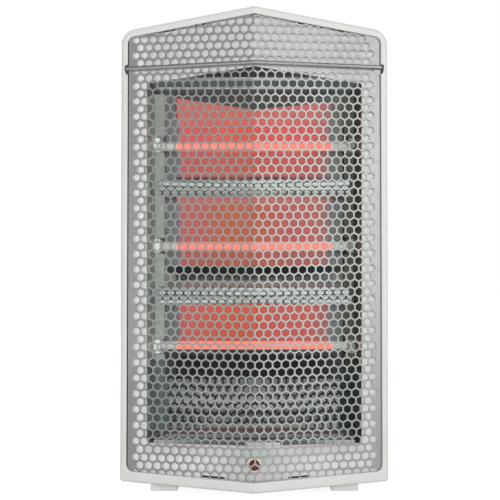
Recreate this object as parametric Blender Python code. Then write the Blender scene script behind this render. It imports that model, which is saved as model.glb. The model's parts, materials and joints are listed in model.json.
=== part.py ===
"""Three-tube quartz heater, free standing.

The front faces -Y, the heater stands on its feet at z = 0, and the origin is the
middle of its footprint.  Lengths below are in millimetres and become metres
through MM.  "Depth" always means the distance behind the vertical prow line of
the front, which is the front-most fold of the guard.
"""
import math

import bmesh
import bpy
from mathutils import Matrix, Vector

for _o in list(bpy.data.objects):
    bpy.data.objects.remove(_o, do_unlink=True)

MM = 0.001

# ---- driving dimensions (mm) -------------------------------------------------
PROW_Y = -95.0              # y of the prow line
PROW_TAN = math.tan(math.radians(10.4))
HALF_W_BOT = 158.6          # half width at the lower corners
HALF_W_TOP = 156.6          # half width at the upper corners
TOP_PEAK_Z = 571.0
TOP_SLOPE = 0.1507          # fall of the gable per mm of |x|
BOT_PEAK_Z = 7.6
BOT_CORNER_Z = 16.5
CORNER_R_TOP = 18.0
CORNER_R_BOT = 4.0
RIM_SIDE = 7.6              # visible rim of the bezel
RIM_TOP = 8.6
RIM_BOT = 12.4
BEZEL_WALL = 2.5
BEZEL_BACK_Y = -42.0
GRILLE_OFF = 3.3            # depth of the guard behind the bezel's face
GRILLE_T = 0.6
PANEL_OFF = 9.5
PANEL_T = 0.8
CAV_HALF = 127.0            # opening in the front panel
CAV_TOP_CORNER = 486.0
CAV_TOP_PEAK = 503.0
CAV_BOT = 61.4
BAR_Z = 505.5
BAR_R = 2.3
BACK_PLANE_Y = 94.2
FLOOR_OF_BODY = 16.7        # underside of the base pan
TUBE_Z = (417.0, 295.0, 173.0)
TUBE_DEPTH = 84.0
TUBE_R = 5.25
TUBE_HALF = 120.0
HEATED_HALF = 96.5
TROUGH_BACK = 34.5          # deepest point of a trough behind its tube
TROUGH_F = 35.5             # focal length of the trough's parabola
TROUGH_AXIS = -2.5          # height of the parabola's axis above the tube
TROUGH_KINK = -24.0         # below this the trough is a little flatter
TROUGH_FLAT = 0.8
REFL_HALF = 108.0
GAP = 0.3


def front_y(x):
    """y of the bezel's front face at |x|."""
    return PROW_Y + abs(x) * PROW_TAN


# ---- helpers -----------------------------------------------------------------
def material(name, color, rough=0.5, metal=0.0, alpha=1.0):
    m = bpy.data.materials.new(name)
    m.use_nodes = True
    b = m.node_tree.nodes["Principled BSDF"]
    b.inputs["Base Color"].default_value = (*color, 1.0)
    b.inputs["Roughness"].default_value = rough
    b.inputs["Metallic"].default_value = metal
    b.inputs["Alpha"].default_value = alpha
    m.diffuse_color = (*color, alpha)
    return m


WHITE = material("white_enamel", (0.80, 0.80, 0.76), 0.38)
CASE_WHITE = material("white_plastic", (0.82, 0.82, 0.78), 0.35)
GRILLE_M = material("guard_enamel", (0.62, 0.62, 0.60), 0.42)
PANEL_M = material("panel_enamel", (0.84, 0.84, 0.82), 0.45)
MIRROR = material("polished_aluminium", (0.80, 0.81, 0.80), 0.12, 1.0)
ZINC = material("zinc_steel", (0.55, 0.58, 0.55), 0.35, 1.0)
GLASS = material("quartz", (0.93, 0.90, 0.88), 0.08, 0.0, 0.6)
COIL = material("hot_coil", (1.0, 0.32, 0.16), 0.5, 0.4)
CERAMIC = material("ceramic", (0.85, 0.84, 0.76), 0.6)
BLACK = material("black_plastic", (0.03, 0.03, 0.03), 0.45)
KNOB = material("knob_plastic", (0.08, 0.08, 0.085), 0.4)
RED = material("lamp_red", (0.45, 0.03, 0.02), 0.15)
CREAM = material("lamp_cream", (0.82, 0.78, 0.68), 0.4)
FOOT_M = material("foot_plastic", (0.62, 0.62, 0.60), 0.5)
SCREW_M = material("screw_steel", (0.6, 0.6, 0.6), 0.3, 1.0)
WIRE_M = material("wire_sleeve", (0.65, 0.62, 0.55), 0.7)
STEEL = material("spring_steel", (0.5, 0.5, 0.52), 0.3, 1.0)


def finish_mesh(name, bm, mat, smooth=None):
    bmesh.ops.remove_doubles(bm, verts=bm.verts, dist=1e-7)
    bmesh.ops.recalc_face_normals(bm, faces=bm.faces)
    me = bpy.data.meshes.new(name)
    bm.to_mesh(me)
    bm.free()
    me.update()
    ob = bpy.data.objects.new(name, me)
    bpy.context.scene.collection.objects.link(ob)
    me.materials.append(mat)
    if smooth is not None:
        me.shade_smooth()
        me.set_sharp_from_angle(angle=math.radians(smooth))
    return ob


def arc(cx, cz, r, a0, a1, n):
    return [(cx + r * math.cos(a0 + (a1 - a0) * i / n),
             cz + r * math.sin(a0 + (a1 - a0) * i / n)) for i in range(n + 1)]


def round_corner(p, a, b, r, n):
    """Points of a fillet of radius r at corner p between directions to a and b."""
    pa = Vector(a) - Vector(p)
    pb = Vector(b) - Vector(p)
    pa.normalize()
    pb.normalize()
    half = pa.angle(pb) / 2.0
    t = r / math.tan(half)
    bis = (pa + pb).normalized()
    c = Vector(p) + bis * (r / math.sin(half))
    s = Vector(p) + pa * t
    e = Vector(p) + pb * t
    a0 = math.atan2(s.y - c.y, s.x - c.x)
    a1 = math.atan2(e.y - c.y, e.x - c.x)
    d = (a1 - a0 + math.pi) % (2 * math.pi) - math.pi
    return [(c.x + r * math.cos(a0 + d * i / n), c.y + r * math.sin(a0 + d * i / n))
            for i in range(n + 1)]


def outline(side, top, bot, r_top, r_bot, flat_bottom=None, nt=6, nb=2,
            half_bot=HALF_W_BOT, half_top=HALF_W_TOP):
    """Front-view outline, counter-clockwise from the bottom peak, as (x, z)."""
    wb = half_bot - side
    wt = half_top - side
    zt = TOP_PEAK_Z - TOP_SLOPE * wt - top
    zp = TOP_PEAK_Z - top
    if flat_bottom is None:
        zb, zbp = BOT_CORNER_Z + bot, BOT_PEAK_Z + bot
    else:
        zb = zbp = flat_bottom
    bp, bc, tc, tp = (0.0, zbp), (wb, zb), (wt, zt), (0.0, zp)
    right = round_corner(bc, bp, tc, r_bot, nb) + round_corner(tc, bc, tp, r_top, nt)
    left = [(-x, z) for x, z in reversed(right)]
    return [bp] + right + [tp] + left


def cavity_outline(grow=0.0, r=2.0, nt=6, nb=2, half=None, zc=None, zp=None, zb=None):
    w = (CAV_HALF if half is None else half) + grow
    zt = (CAV_TOP_CORNER if zc is None else zc) + grow
    zpk = (CAV_TOP_PEAK if zp is None else zp) + grow
    zbo = (CAV_BOT if zb is None else zb) - grow
    bp, bc, tc, tp = (0.0, zbo), (w, zbo), (w, zt), (0.0, zpk)
    right = round_corner(bc, bp, tc, r, nb) + round_corner(tc, bc, tp, r, nt)
    left = [(-x, z) for x, z in reversed(right)]
    return [bp] + right + [tp] + left


def loop3(pts, yfun):
    return [(x, yfun(x), z) for x, z in pts]


def ring_loft(name, loops, mat, smooth=None):
    """Closed tube of quads through loops of equal length (the last meets the first)."""
    bm = bmesh.new()
    vs = [[bm.verts.new((p[0] * MM, p[1] * MM, p[2] * MM)) for p in lp] for lp in loops]
    k = len(vs)
    n = len(vs[0])
    for i in range(k):
        a, b = vs[i], vs[(i + 1) % k]
        for j in range(n):
            j2 = (j + 1) % n
            bm.faces.new((a[j], a[j2], b[j2], b[j]))
    return finish_mesh(name, bm, mat, smooth)


def stack_loft(name, loops, mat, smooth=None, split=False):
    """Solid through loops, its two ends closed by flat faces (two halves if split)."""
    bm = bmesh.new()
    vs = [[bm.verts.new((p[0] * MM, p[1] * MM, p[2] * MM)) for p in lp] for lp in loops]
    n = len(vs[0])
    for i in range(len(vs) - 1):
        a, b = vs[i], vs[i + 1]
        for j in range(n):
            j2 = (j + 1) % n
            bm.faces.new((a[j], a[j2], b[j2], b[j]))
    for lp in (vs[0], vs[-1]):
        if split:
            m = n // 2
            bm.faces.new(lp[:m + 1])
            bm.faces.new(lp[m:] + [lp[0]])
        else:
            bm.faces.new(lp)
    return finish_mesh(name, bm, mat, smooth)


def box(name, lo, hi, mat, bevel=0.0):
    bm = bmesh.new()
    bmesh.ops.create_cube(bm, size=1.0)
    for v in bm.verts:
        v.co = Vector([(lo[i] + hi[i]) / 2 * MM + v.co[i] * (hi[i] - lo[i]) * MM for i in range(3)])
    if bevel:
        bmesh.ops.bevel(bm, geom=list(bm.edges), offset=bevel * MM, segments=1, affect='EDGES')
    return finish_mesh(name, bm, mat)


def prism(name, profile, axis, a, b, mat, smooth=None):
    """Extrude a closed profile along an axis: 'X' profile=(y, z), 'Y' (x, z), 'Z' (x, y)."""
    def place(p, t):
        u, v = p
        return {'X': (t, u, v), 'Y': (u, t, v), 'Z': (u, v, t)}[axis]
    bm = bmesh.new()
    lo = [bm.verts.new(Vector(place(p, a)) * MM) for p in profile]
    hi = [bm.verts.new(Vector(place(p, b)) * MM) for p in profile]
    n = len(profile)
    for j in range(n):
        j2 = (j + 1) % n
        bm.faces.new((lo[j], lo[j2], hi[j2], hi[j]))
    bm.faces.new(lo)
    bm.faces.new(hi)
    bmesh.ops.triangulate(bm, faces=[f for f in bm.faces if len(f.verts) > 4])
    return finish_mesh(name, bm, mat, smooth)


def turned(name, profile, origin, axis, mat, n=20, smooth=35):
    """Turn a closed profile of (radius, height) about an axis through origin.

    Radius 0 points lie on the axis; a profile with none gives a ring.
    """
    ax = Vector(axis).normalized()
    q = Vector((0, 0, 1)).rotation_difference(ax)
    bm = bmesh.new()
    rings = []
    for r, h in profile:
        if r <= 1e-9:
            rings.append([bm.verts.new(q @ Vector((0, 0, h * MM)))])
        else:
            rings.append([bm.verts.new(q @ Vector((r * MM * math.cos(2 * math.pi * k / n),
                                                   r * MM * math.sin(2 * math.pi * k / n),
                                                   h * MM))) for k in range(n)])
    m = len(rings)
    solid_ends = len(rings[0]) == 1 and len(rings[-1]) == 1
    for i in range(m - 1 if solid_ends else m):
        a, b = rings[i], rings[(i + 1) % m]
        for k in range(n):
            k2 = (k + 1) % n
            if len(a) == 1 and len(b) == 1:
                break
            if len(a) == 1:
                bm.faces.new((a[0], b[k], b[k2]))
            elif len(b) == 1:
                bm.faces.new((a[k], b[0], a[k2]))
            else:
                bm.faces.new((a[k], b[k], b[k2], a[k2]))
    ob = finish_mesh(name, bm, mat, smooth)
    ob.location = Vector(origin) * MM
    return ob


def cutter_setup(ob):
    ob.hide_render = True
    ob.display_type = 'WIRE'
    return ob


def cut(target, cutter):
    m = target.modifiers.new("cut_" + cutter.name, 'BOOLEAN')
    m.operation = 'DIFFERENCE'
    m.object = cutter
    m.solver = 'EXACT'


def joined_cutter(name, obs):
    """Several separate, non-touching cutting solids as one cutting object."""
    bm = bmesh.new()
    for o in obs:
        bpy.context.view_layer.update()
        me = o.data.copy()
        me.transform(o.matrix_world)
        bm.from_mesh(me)
        bpy.data.meshes.remove(me)
        bpy.data.objects.remove(o, do_unlink=True)
    me = bpy.data.meshes.new(name)
    bm.to_mesh(me)
    bm.free()
    ob = bpy.data.objects.new(name, me)
    bpy.context.scene.collection.objects.link(ob)
    return cutter_setup(ob)


def slab_cutter(lo, hi):
    return box("tmp_slab", lo, hi, BLACK)


def rod_cutter(r, a, b, origin, axis, n=16):
    return turned("tmp_rod", [(0, a), (r, a), (r, b), (0, b)], origin, axis, BLACK, n=n, smooth=None)


def at_depth(d):
    return PROW_Y + d


# ---- front bezel ---------------------------------------------------------------
def make_bezel():
    b = BEZEL_WALL
    loops = [
        loop3(outline(1.3, 1.3, 1.3, CORNER_R_TOP - 1.3, CORNER_R_BOT - 1.3), front_y),
        loop3(outline(0, 0, 0, CORNER_R_TOP, CORNER_R_BOT), lambda x: front_y(x) + 1.3),
        loop3(outline(0, 0, 0, CORNER_R_TOP, CORNER_R_BOT), lambda x: BEZEL_BACK_Y),
        loop3(outline(b, b, b, CORNER_R_TOP - b, 2.5), lambda x: BEZEL_BACK_Y),
        loop3(outline(b, b, b, CORNER_R_TOP - b, 2.5), lambda x: front_y(x) + 3.0),
        loop3(outline(RIM_SIDE, RIM_TOP, RIM_BOT, 8.0, 8.0), lambda x: front_y(x) + 3.0),
        loop3(outline(RIM_SIDE, RIM_TOP, RIM_BOT, 8.0, 8.0), front_y),
    ]
    ob = ring_loft("front_bezel", loops, CASE_WHITE, 30)
    cuts = []
    for s in (-1, 1):
        xa, xb = sorted((s * 145.0, s * 152.6))
        cuts.append(slab_cutter((xa, -75.0, BAR_Z - 3.4), (xb, -50.0, BAR_Z + 3.4)))
    cut(ob, joined_cutter("bar_notch_cutter", cuts))
    return ob


def make_grille():
    o = outline(3.2, 3.2, 3.2, CORNER_R_TOP - 3.2, 2.0)
    return stack_loft("grille", [loop3(o, lambda x: front_y(x) + GRILLE_OFF),
                                 loop3(o, lambda x: front_y(x) + GRILLE_OFF + GRILLE_T)],
                      GRILLE_M, split=True)


def make_bar():
    """Round guard bar, bent at the prow, its ends lying in notches of the bezel."""
    off = GRILLE_OFF - BAR_R - GAP
    xs = (-151.8, 0.0, 151.8)
    n = 10
    loops = []
    for i, x in enumerate(xs):
        y = front_y(x) + off
        rise = 1.4 if i == 1 else 0.0
        ring = []
        for k in range(n):
            a = 2 * math.pi * k / n
            ring.append((x, y - BAR_R * math.cos(a), BAR_Z + rise + BAR_R * math.sin(a)))
        loops.append(ring)
    return stack_loft("grille_bar", loops, GRILLE_M, 40)


def make_panel():
    o = outline(3.4, 3.4, 3.4, CORNER_R_TOP - 3.4, 2.0)
    c = cavity_outline()
    f = lambda x: front_y(x) + PANEL_OFF
    g = lambda x: front_y(x) + PANEL_OFF + PANEL_T
    ob = ring_loft("front_panel", [loop3(o, f), loop3(o, g), loop3(c, g), loop3(c, f)], PANEL_M)
    cut(ob, cutter_setup(rod_named("lamp_hole_cutter", 6.6, -10, 30, (0, -95, 39.6), (0, 1, 0))))
    return ob


def rod_named(name, r, a, b, origin, axis, n=16):
    return turned(name, [(0, a), (r, a), (r, b), (0, b)], origin, axis, BLACK, n=n, smooth=None)


# ---- casing --------------------------------------------------------------------
def make_wrap():
    """Sheet-steel sides and roof, one bent strip, open underneath."""
    def bent(inset):
        pts = outline(inset, inset, 0, CORNER_R_TOP - inset, 2.0, flat_bottom=FLOOR_OF_BODY)
        # drop the bottom peak and the rounded lower corners: straight legs
        right_top = [p for p in pts[1:] if p[0] > 0 and p[1] > 300]
        w = HALF_W_BOT - inset
        right = [(w, FLOOR_OF_BODY + 4.2)] + right_top
        left = [(-x, z) for x, z in reversed(right)]
        return right + [(0.0, TOP_PEAK_Z - inset)] + left
    outer, inner = bent(3.0), bent(3.8)
    bm = bmesh.new()
    y0, y1 = -52.0, 66.0
    vs = {}
    for key, pts, y in (("of", outer, y0), ("ob", outer, y1), ("if", inner, y0), ("ib", inner, y1)):
        vs[key] = [bm.verts.new(Vector((x, y, z)) * MM) for x, z in pts]
    n = len(outer)
    for j in range(n - 1):
        for a, b in (("of", "ob"), ("ob", "ib"), ("ib", "if"), ("if", "of")):
            bm.faces.new((vs[a][j], vs[a][j + 1], vs[b][j + 1], vs[b][j]))
    for j in (0, n - 1):
        bm.faces.new((vs["of"][j], vs["ob"][j], vs["ib"][j], vs["if"][j]))
    ob = finish_mesh("housing_wrap", bm, WHITE, 30)
    # cooling louvres high on both sides
    cuts = []
    for s in (-1, 1):
        for i in range(6):
            z = 452.0 + i * 12.0
            xa, xb = sorted((s * 148.0, s * 160.0))
            cuts.append(slab_cutter((xa, -8.0, z), (xb, 42.0, z + 4.0)))
    cut(ob, joined_cutter("side_louvre_cutter", cuts))
    return ob


def make_back_cover():
    fb = FLOOR_OF_BODY
    def lp(ins, y, b, rb=4.0):
        return loop3(outline(ins, ins, 0, max(CORNER_R_TOP - ins, 6.0) if ins < 12 else 14.0, rb,
                             flat_bottom=fb + b), lambda x: y)
    outer = [lp(0.4, 60.0, 0.0), lp(0.4, 78.0, 0.0), lp(2.2, 86.0, 1.8), lp(6.2, 91.8, 5.8), lp(12.5, BACK_PLANE_Y, 12.1)]
    inner = [lp(14.0, BACK_PLANE_Y - 2.2, 13.6), lp(8.0, 89.6, 7.6), lp(4.6, 84.8, 4.2), lp(2.7, 77.5, 2.3, 1.5), lp(2.7, 60.0, 2.3, 1.5)]
    loops = outer + inner
    bm = bmesh.new()
    vs = [[bm.verts.new(Vector(p) * MM) for p in l] for l in loops]
    n = len(vs[0])
    def band(a, b):
        for j in range(n):
            j2 = (j + 1) % n
            bm.faces.new((a[j], a[j2], b[j2], b[j]))
    for i in range(4):
        band(vs[i], vs[i + 1])
    for i in range(5, 9):
        band(vs[i], vs[i + 1])
    band(vs[9], vs[0])
    bm.faces.new(vs[4])
    bm.faces.new(vs[5])
    ob = finish_mesh("back_cover", bm, CASE_WHITE, 30)
    cuts = [slab_cutter((-78.0, 84.0, 452.0), (78.0, 100.0, 514.0)),       # control window
            slab_cutter((-58.0, 84.0, 388.0), (58.0, 100.0, 430.0)),       # finger pocket window
            rod_cutter(7.2, 84.0, 100.0, (-104.0, 0.0, 52.0), (0, 1, 0))]  # cord inlet
    for s in (-1, 1):
        for z in (44.0, 500.0):
            cuts.append(rod_cutter(2.3, 84.0, 100.0, (s * 126.0, 0.0, z), (0, 1, 0), n=10))
        for i in range(9):                                                 # vent slots
            z = 132.0 + i * 24.0
            xa, xb = sorted((s * 10.0, s * 108.0))
            cuts.append(slab_cutter((xa, 84.0, z), (xb, 100.0, z + 8.0)))
    cut(ob, joined_cutter("back_openings_cutter", cuts))
    return ob


def make_base_pan():
    ob = box("base_pan", (-153.6, -41.4, FLOOR_OF_BODY), (153.6, 59.6, FLOOR_OF_BODY + 1.0), ZINC)
    cuts = [rod_cutter(5.4, 5, 30, (0.0, 14.0, 0.0), (0, 0, 1))]
    for s in (-1, 1):
        for y in (-22.0, 48.0):
            cuts.append(rod_cutter(2.4, 5, 30, (s * 108.5, y, 0.0), (0, 0, 1), n=10))
    cut(ob, joined_cutter("pan_holes_cutter", cuts))
    return ob


def make_tray(name, xh, z0, z1, y_floor, wall, mat):
    """Open-backed tray pushed into a window of the back cover."""
    lo = [(-xh, z0), (xh, z0), (xh, z1), (-xh, z1)]
    li = [(-xh + wall, z0 + wall), (xh - wall, z0 + wall), (xh - wall, z1 - wall), (-xh + wall, z1 - wall)]
    y_rim = BACK_PLANE_Y
    bm = bmesh.new()
    rings = []
    for pts, y in ((lo, y_floor), (lo, y_rim), (li, y_rim), (li, y_floor + wall)):
        rings.append([bm.verts.new(Vector((x, y, z)) * MM) for x, z in pts])
    for i in range(3):
        for j in range(4):
            j2 = (j + 1) % 4
            bm.faces.new((rings[i][j], rings[i][j2], rings[i + 1][j2], rings[i + 1][j]))
    bm.faces.new(rings[0])
    bm.faces.new(rings[3])
    return finish_mesh(name, bm, mat)


KNOB_X = 38.0
KNOB_Z = 483.0


def make_controls():
    tray = make_tray("control_plate", 77.7, 452.3, 513.7, 76.0, 1.6, BLACK)
    cut(tray, joined_cutter("shaft_hole_cutter",
                            [rod_cutter(3.7, 60, 90, (s * KNOB_X, 0, KNOB_Z), (0, 1, 0), n=12) for s in (-1, 1)]))
    make_tray("handle_cup", 57.7, 388.3, 429.7, 64.0, 1.8, BLACK)
    for s, stem in ((1, "heat_selector"), (-1, "thermostat")):
        x = s * KNOB_X
        knob = turned(stem + "_knob",
                      [(0, 16.0), (12.6, 16.0), (14.0, 14.8), (15.2, 3.0), (17.2, 1.6), (17.2, 0.0),
                       (3.4, 0.0), (3.4, 10.0), (0, 10.0)],
                      (x, 78.2, KNOB_Z), (0, 1, 0), KNOB, n=24)
        shaft = turned(stem + "_shaft",
                       [(0, 0), (3.0, 0), (3.0, 19.4), (0, 19.4)],
                       (x, 68.5, KNOB_Z), (0, 1, 0), STEEL, n=12)
        shaft.parent = knob
        shaft.location = Vector((0, 68.5 - 78.2, 0)) * MM
        body = box("heat_selector_switch" if s > 0 else "thermostat_body",
                   (x - 17.0, 48.0, KNOB_Z - 15.0), (x + 17.0, 75.6, KNOB_Z + 15.0), BLACK, 1.0)
        cut(body, cutter_setup(rod_named(stem + "_bore_cutter", 3.4, 66.0, 80.0, (x, 0, KNOB_Z), (0, 1, 0), n=12)))


# ---- heating cavity --------------------------------------------------------------
def trough_points(zc, up, down, n):
    """(depth, z) along one trough, top to bottom: a parabola, a little flatter below the kink."""
    def depth(h):
        v = TROUGH_BACK - (h - TROUGH_AXIS) ** 2 / (4 * TROUGH_F)
        if h < TROUGH_KINK:
            k = TROUGH_BACK - (TROUGH_KINK - TROUGH_AXIS) ** 2 / (4 * TROUGH_F)
            v = k + TROUGH_FLAT * (v - k)
        return TUBE_DEPTH + v
    hs = [up + (-down - up) * i / n for i in range(n + 1)]
    return [(depth(h), zc + h) for h in hs]


def make_reflector():
    """Three troughs bent in one polished sheet, running from top to bottom."""
    line = []
    for i, zc in enumerate(TUBE_Z):
        line += trough_points(zc, 57.0, 47.0, 10)
    front, back = offset_line([(at_depth(d), z) for d, z in line], 0.6)
    return strip("reflector", front, back, 'X', -REFL_HALF, REFL_HALF, MIRROR, 25)


def strip(name, outer, inner, axis, a, b, mat, smooth=None):
    """Bent sheet: two matching polylines in section, extruded along an axis; ends are quads."""
    def place(p, t):
        u, v = p
        return Vector({'X': (t, u, v), 'Y': (u, t, v), 'Z': (u, v, t)}[axis]) * MM
    bm = bmesh.new()
    o0 = [bm.verts.new(place(p, a)) for p in outer]
    o1 = [bm.verts.new(place(p, b)) for p in outer]
    i0 = [bm.verts.new(place(p, a)) for p in inner]
    i1 = [bm.verts.new(place(p, b)) for p in inner]
    n = len(outer)
    for j in range(n - 1):
        bm.faces.new((o0[j], o0[j + 1], o1[j + 1], o1[j]))
        bm.faces.new((i0[j + 1], i0[j], i1[j], i1[j + 1]))
        bm.faces.new((o0[j + 1], o0[j], i0[j], i0[j + 1]))
        bm.faces.new((o1[j], o1[j + 1], i1[j + 1], i1[j]))
    for j in (0, n - 1):
        bm.faces.new((o0[j], o1[j], i1[j], i0[j]))
    return finish_mesh(name, bm, mat, smooth)


def make_dividers():
    """Shallow channels that bridge the lands between the troughs."""
    for i, (z0, z1) in enumerate(((355.5, 375.0), (224.5, 246.0))):
        y0 = at_depth(57.5)
        t, w = 0.8, 4.2
        strip("divider_%d" % (i + 1),
              [(y0 + w, z0), (y0, z0), (y0, z1), (y0 + w, z1)],
              [(y0 + w, z0 + t), (y0 + t, z0 + t), (y0 + t, z1 - t), (y0 + w, z1 - t)],
              'X', -114.5, 114.5, MIRROR)


def offset_line(pts, t):
    """Polyline shifted sideways by t, mitred at its bends."""
    pts = [Vector(p) for p in pts]
    out = []
    for i, p in enumerate(pts):
        d1 = (p - pts[i - 1]) if i > 0 else (pts[1] - p)
        d2 = (pts[i + 1] - p) if i < len(pts) - 1 else d1
        n1 = Vector((-d1.y, d1.x)).normalized()
        n2 = Vector((-d2.y, d2.x)).normalized()
        m = (n1 + n2).normalized()
        out.append(tuple(p + m * (t / m.dot(n1))))
    return [tuple(p) for p in pts], out


def make_cavity():
    # mirror apron under the lowest trough: upright back, level ledge and a turned-down front
    f, g = offset_line([(at_depth(46.0), 65.5), (at_depth(46.0), 70.0), (at_depth(92.0), 70.0), (at_depth(92.0), 131.0)], -0.8)
    strip("lower_apron", f, g, 'X', -106.0, 106.0, MIRROR)
    # lip of the opening's lower edge
    f, g = offset_line([(at_depth(34.5), 58.5), (at_depth(34.5), 64.5), (at_depth(44.5), 64.5)], -0.8)
    strip("lower_lip", f, g, 'X', -119.0, 119.0, ZINC)
    # roof of the cavity with a hemmed front edge, and the shield above it
    y0 = at_depth(58.0)
    strip("cavity_roof", [(at_depth(112.0), 484.0), (y0, 484.0), (y0, 486.2)],
          [(at_depth(112.0), 485.0), (y0 + 1.0, 485.0), (y0 + 1.0, 486.2)], 'X', -118.5, 118.5, ZINC)
    y1 = at_depth(52.0)
    strip("heat_shield", [(at_depth(134.0), 493.4), (y1, 493.4), (y1, 497.4)],
          [(at_depth(134.0), 494.4), (y1 + 1.0, 494.4), (y1 + 1.0, 497.4)], 'X', -124.0, 124.0, ZINC)
    # plain baffle between the back of the reflector and the vented rear of the casing
    box("rear_baffle", (-128.0, 31.0, 62.0), (128.0, 31.8, 486.0), ZINC)
    for s, side in ((-1, "left"), (1, "right")):
        # splayed cheek from the opening's edge in to the bracket
        a = Vector((s * 127.6, at_depth(35.5)))
        b = Vector((s * 120.9, at_depth(61.3)))
        d = (b - a).normalized()
        nrm = Vector((-d.y, d.x)) * 0.8
        if nrm.x * s < 0:
            nrm = -nrm
        strip("cavity_side_" + side, [tuple(a), tuple(b)], [tuple(a + nrm), tuple(b + nrm)], 'Z', 60.0, 483.6, ZINC)
        # tube bracket: angle section with a window and a cap hole at each tube
        x0, x1, x2 = s * 108.6, s * 120.4, s * 119.4
        prof = [(x0, at_depth(62.0)), (x1, at_depth(62.0)), (x1, at_depth(113.0)), (x2, at_depth(113.0)), (x2, at_depth(63.0)), (x0, at_depth(63.0))]
        br = strip("tube_bracket_" + side, prof[:3], [prof[5], prof[4], prof[3]], 'Z', 158.0, 478.0, ZINC)
        cuts = []
        for z in TUBE_Z:
            xa, xb = sorted((s * 105.0, s * 117.6))
            cuts.append(slab_cutter((xa, at_depth(58.0), z - 9.5), (xb, at_depth(66.0), z + 9.5)))
            cuts.append(rod_cutter(8.4, 112.0, 125.0, (0, at_depth(TUBE_DEPTH), z), (s, 0, 0)))
        cut(br, joined_cutter("bracket_%s_cutter" % side, cuts))
    for i, z in enumerate(TUBE_Z):
        y = at_depth(TUBE_DEPTH)
        k = i + 1
        turned("quartz_tube_%d" % k, [(TUBE_R - 1.0, -TUBE_HALF), (TUBE_R, -TUBE_HALF), (TUBE_R, TUBE_HALF), (TUBE_R - 1.0, TUBE_HALF)],
               (0, y, z), (1, 0, 0), GLASS, n=20)
        turned("heating_coil_%d" % k, [(0, -HEATED_HALF), (3.2, -HEATED_HALF), (3.2, HEATED_HALF), (0, HEATED_HALF)],
               (0, y, z), (1, 0, 0), COIL, n=12)
        for s, side in ((-1, "left"), (1, "right")):
            turned("tube_cap_%d_%s" % (k, side),
                   [(5.6, 113.0), (8.0, 113.0), (8.0, 129.0), (0, 129.0), (0, 120.6), (5.6, 120.6)],
                   (0, y, z), (s, 0, 0), CERAMIC, n=16)


# ---- pilot lamp ------------------------------------------------------------------
def make_pilot():
    z = 39.6
    y = PROW_Y
    turned("pilot_lamp_bezel", [(6.6, 6.3), (7.6, 6.3), (8.5, 6.9), (8.5, 9.1), (6.6, 9.1)], (0, y, z), (0, 1, 0), CREAM, n=24)
    turned("pilot_lamp_lens", [(0, 5.0), (3.2, 5.3), (5.2, 6.2), (6.2, 8.0), (6.2, 18.0), (0, 18.0)], (0, y, z), (0, 1, 0), RED, n=24)
    turned("pilot_lamp_body", [(0, 18.4), (5.6, 18.4), (5.6, 36.0), (0, 36.0)], (0, y, z), (0, 1, 0), BLACK, n=16)
    # tab that hooks over the lower edge of the opening
    ob = box("pilot_lamp_bracket", (-8.0, PROW_Y + 17.2, 26.0), (30.0, PROW_Y + 18.2, 64.4), PANEL_M)
    cut(ob, cutter_setup(rod_named("bracket_hole_cutter", 6.8, 10, 30, (0, y, z), (0, 1, 0))))


# ---- safety switch, wiring, feet, screws --------------------------------------------
def helix(name, origin, radius, wire, z0, z1, turns, seg, sides, mat):
    loops = []
    total = int(turns * seg)
    for i in range(total + 1):
        a = 2 * math.pi * i / seg
        zc = z0 + (z1 - z0) * i / total
        ring = []
        for k in range(sides):
            b = 2 * math.pi * k / sides
            r = radius + wire * math.cos(b)
            ring.append((origin[0] + r * math.cos(a), origin[1] + r * math.sin(a), zc + wire * math.sin(b)))
        loops.append(ring)
    return stack_loft(name, loops, mat, 40)


def make_internals():
    sx, sy = 0.0, 14.0
    body = box("tip_over_switch", (sx - 12, sy - 15, FLOOR_OF_BODY + 1.5), (sx + 12, sy + 15, 52.0), BLACK, 1.0)
    cut(body, cutter_setup(rod_named("switch_bore_cutter", 4.9, 10.0, 46.0, (sx, sy, 0), (0, 0, 1))))
    turned("tip_over_plunger", [(0, 0.5), (4.2, 0.5), (5.0, 1.6), (5.0, 4.2), (3.6, 5.2), (3.6, 27.0), (4.4, 27.0), (4.4, 31.0), (0, 31.0)],
           (sx, sy, 0), (0, 0, 1), RED, n=16)
    helix("tip_over_spring", (sx, sy), 3.0, 0.5, 32.0, 45.0, 5, 10, 6, STEEL)
    turned("thermal_cutout", [(0, 0), (8.0, 0), (8.0, 5.0), (5.5, 5.6), (5.5, 9.0), (0, 9.0)],
           (60.0, at_depth(110.5), 352.0), (0, 1, 0), STEEL, n=16)
    box("terminal_block", (-84.0, 24.0, FLOOR_OF_BODY + 1.5), (-44.0, 44.0, 36.0), CREAM, 0.8)
    # sleeved loom from the terminal block up to the switches
    cu = bpy.data.curves.new("wiring_harness", 'CURVE')
    cu.dimensions = '3D'
    cu.bevel_depth = 3.5 * MM
    cu.bevel_resolution = 1
    cu.use_fill_caps = True
    sp = cu.splines.new('POLY')
    path = [(-64, 34, 36.6), (-64, 34, 46), (-62, 38, 60), (-54, 44, 80), (-50, 46, 120), (-50, 46, 380),
            (-46, 48, 420), (-40, 54, 445), (-38, 58, 456), (-38, 60, 467.4)]
    sp.points.add(len(path) - 1)
    for p, q in zip(sp.points, path):
        p.co = (q[0] * MM, q[1] * MM, q[2] * MM, 1.0)
    ob = bpy.data.objects.new("wiring_harness", cu)
    bpy.context.scene.collection.objects.link(ob)
    cu.materials.append(WIRE_M)
    turned("cord_inlet_bush", [(3.8, -6.0), (6.9, -6.0), (6.9, 2.5), (9.4, 2.5), (9.4, 3.9), (8.6, 4.7), (3.8, 4.7)],
           (-104.0, BACK_PLANE_Y - 2.2, 52.0), (0, 1, 0), BLACK, n=20)


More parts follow.
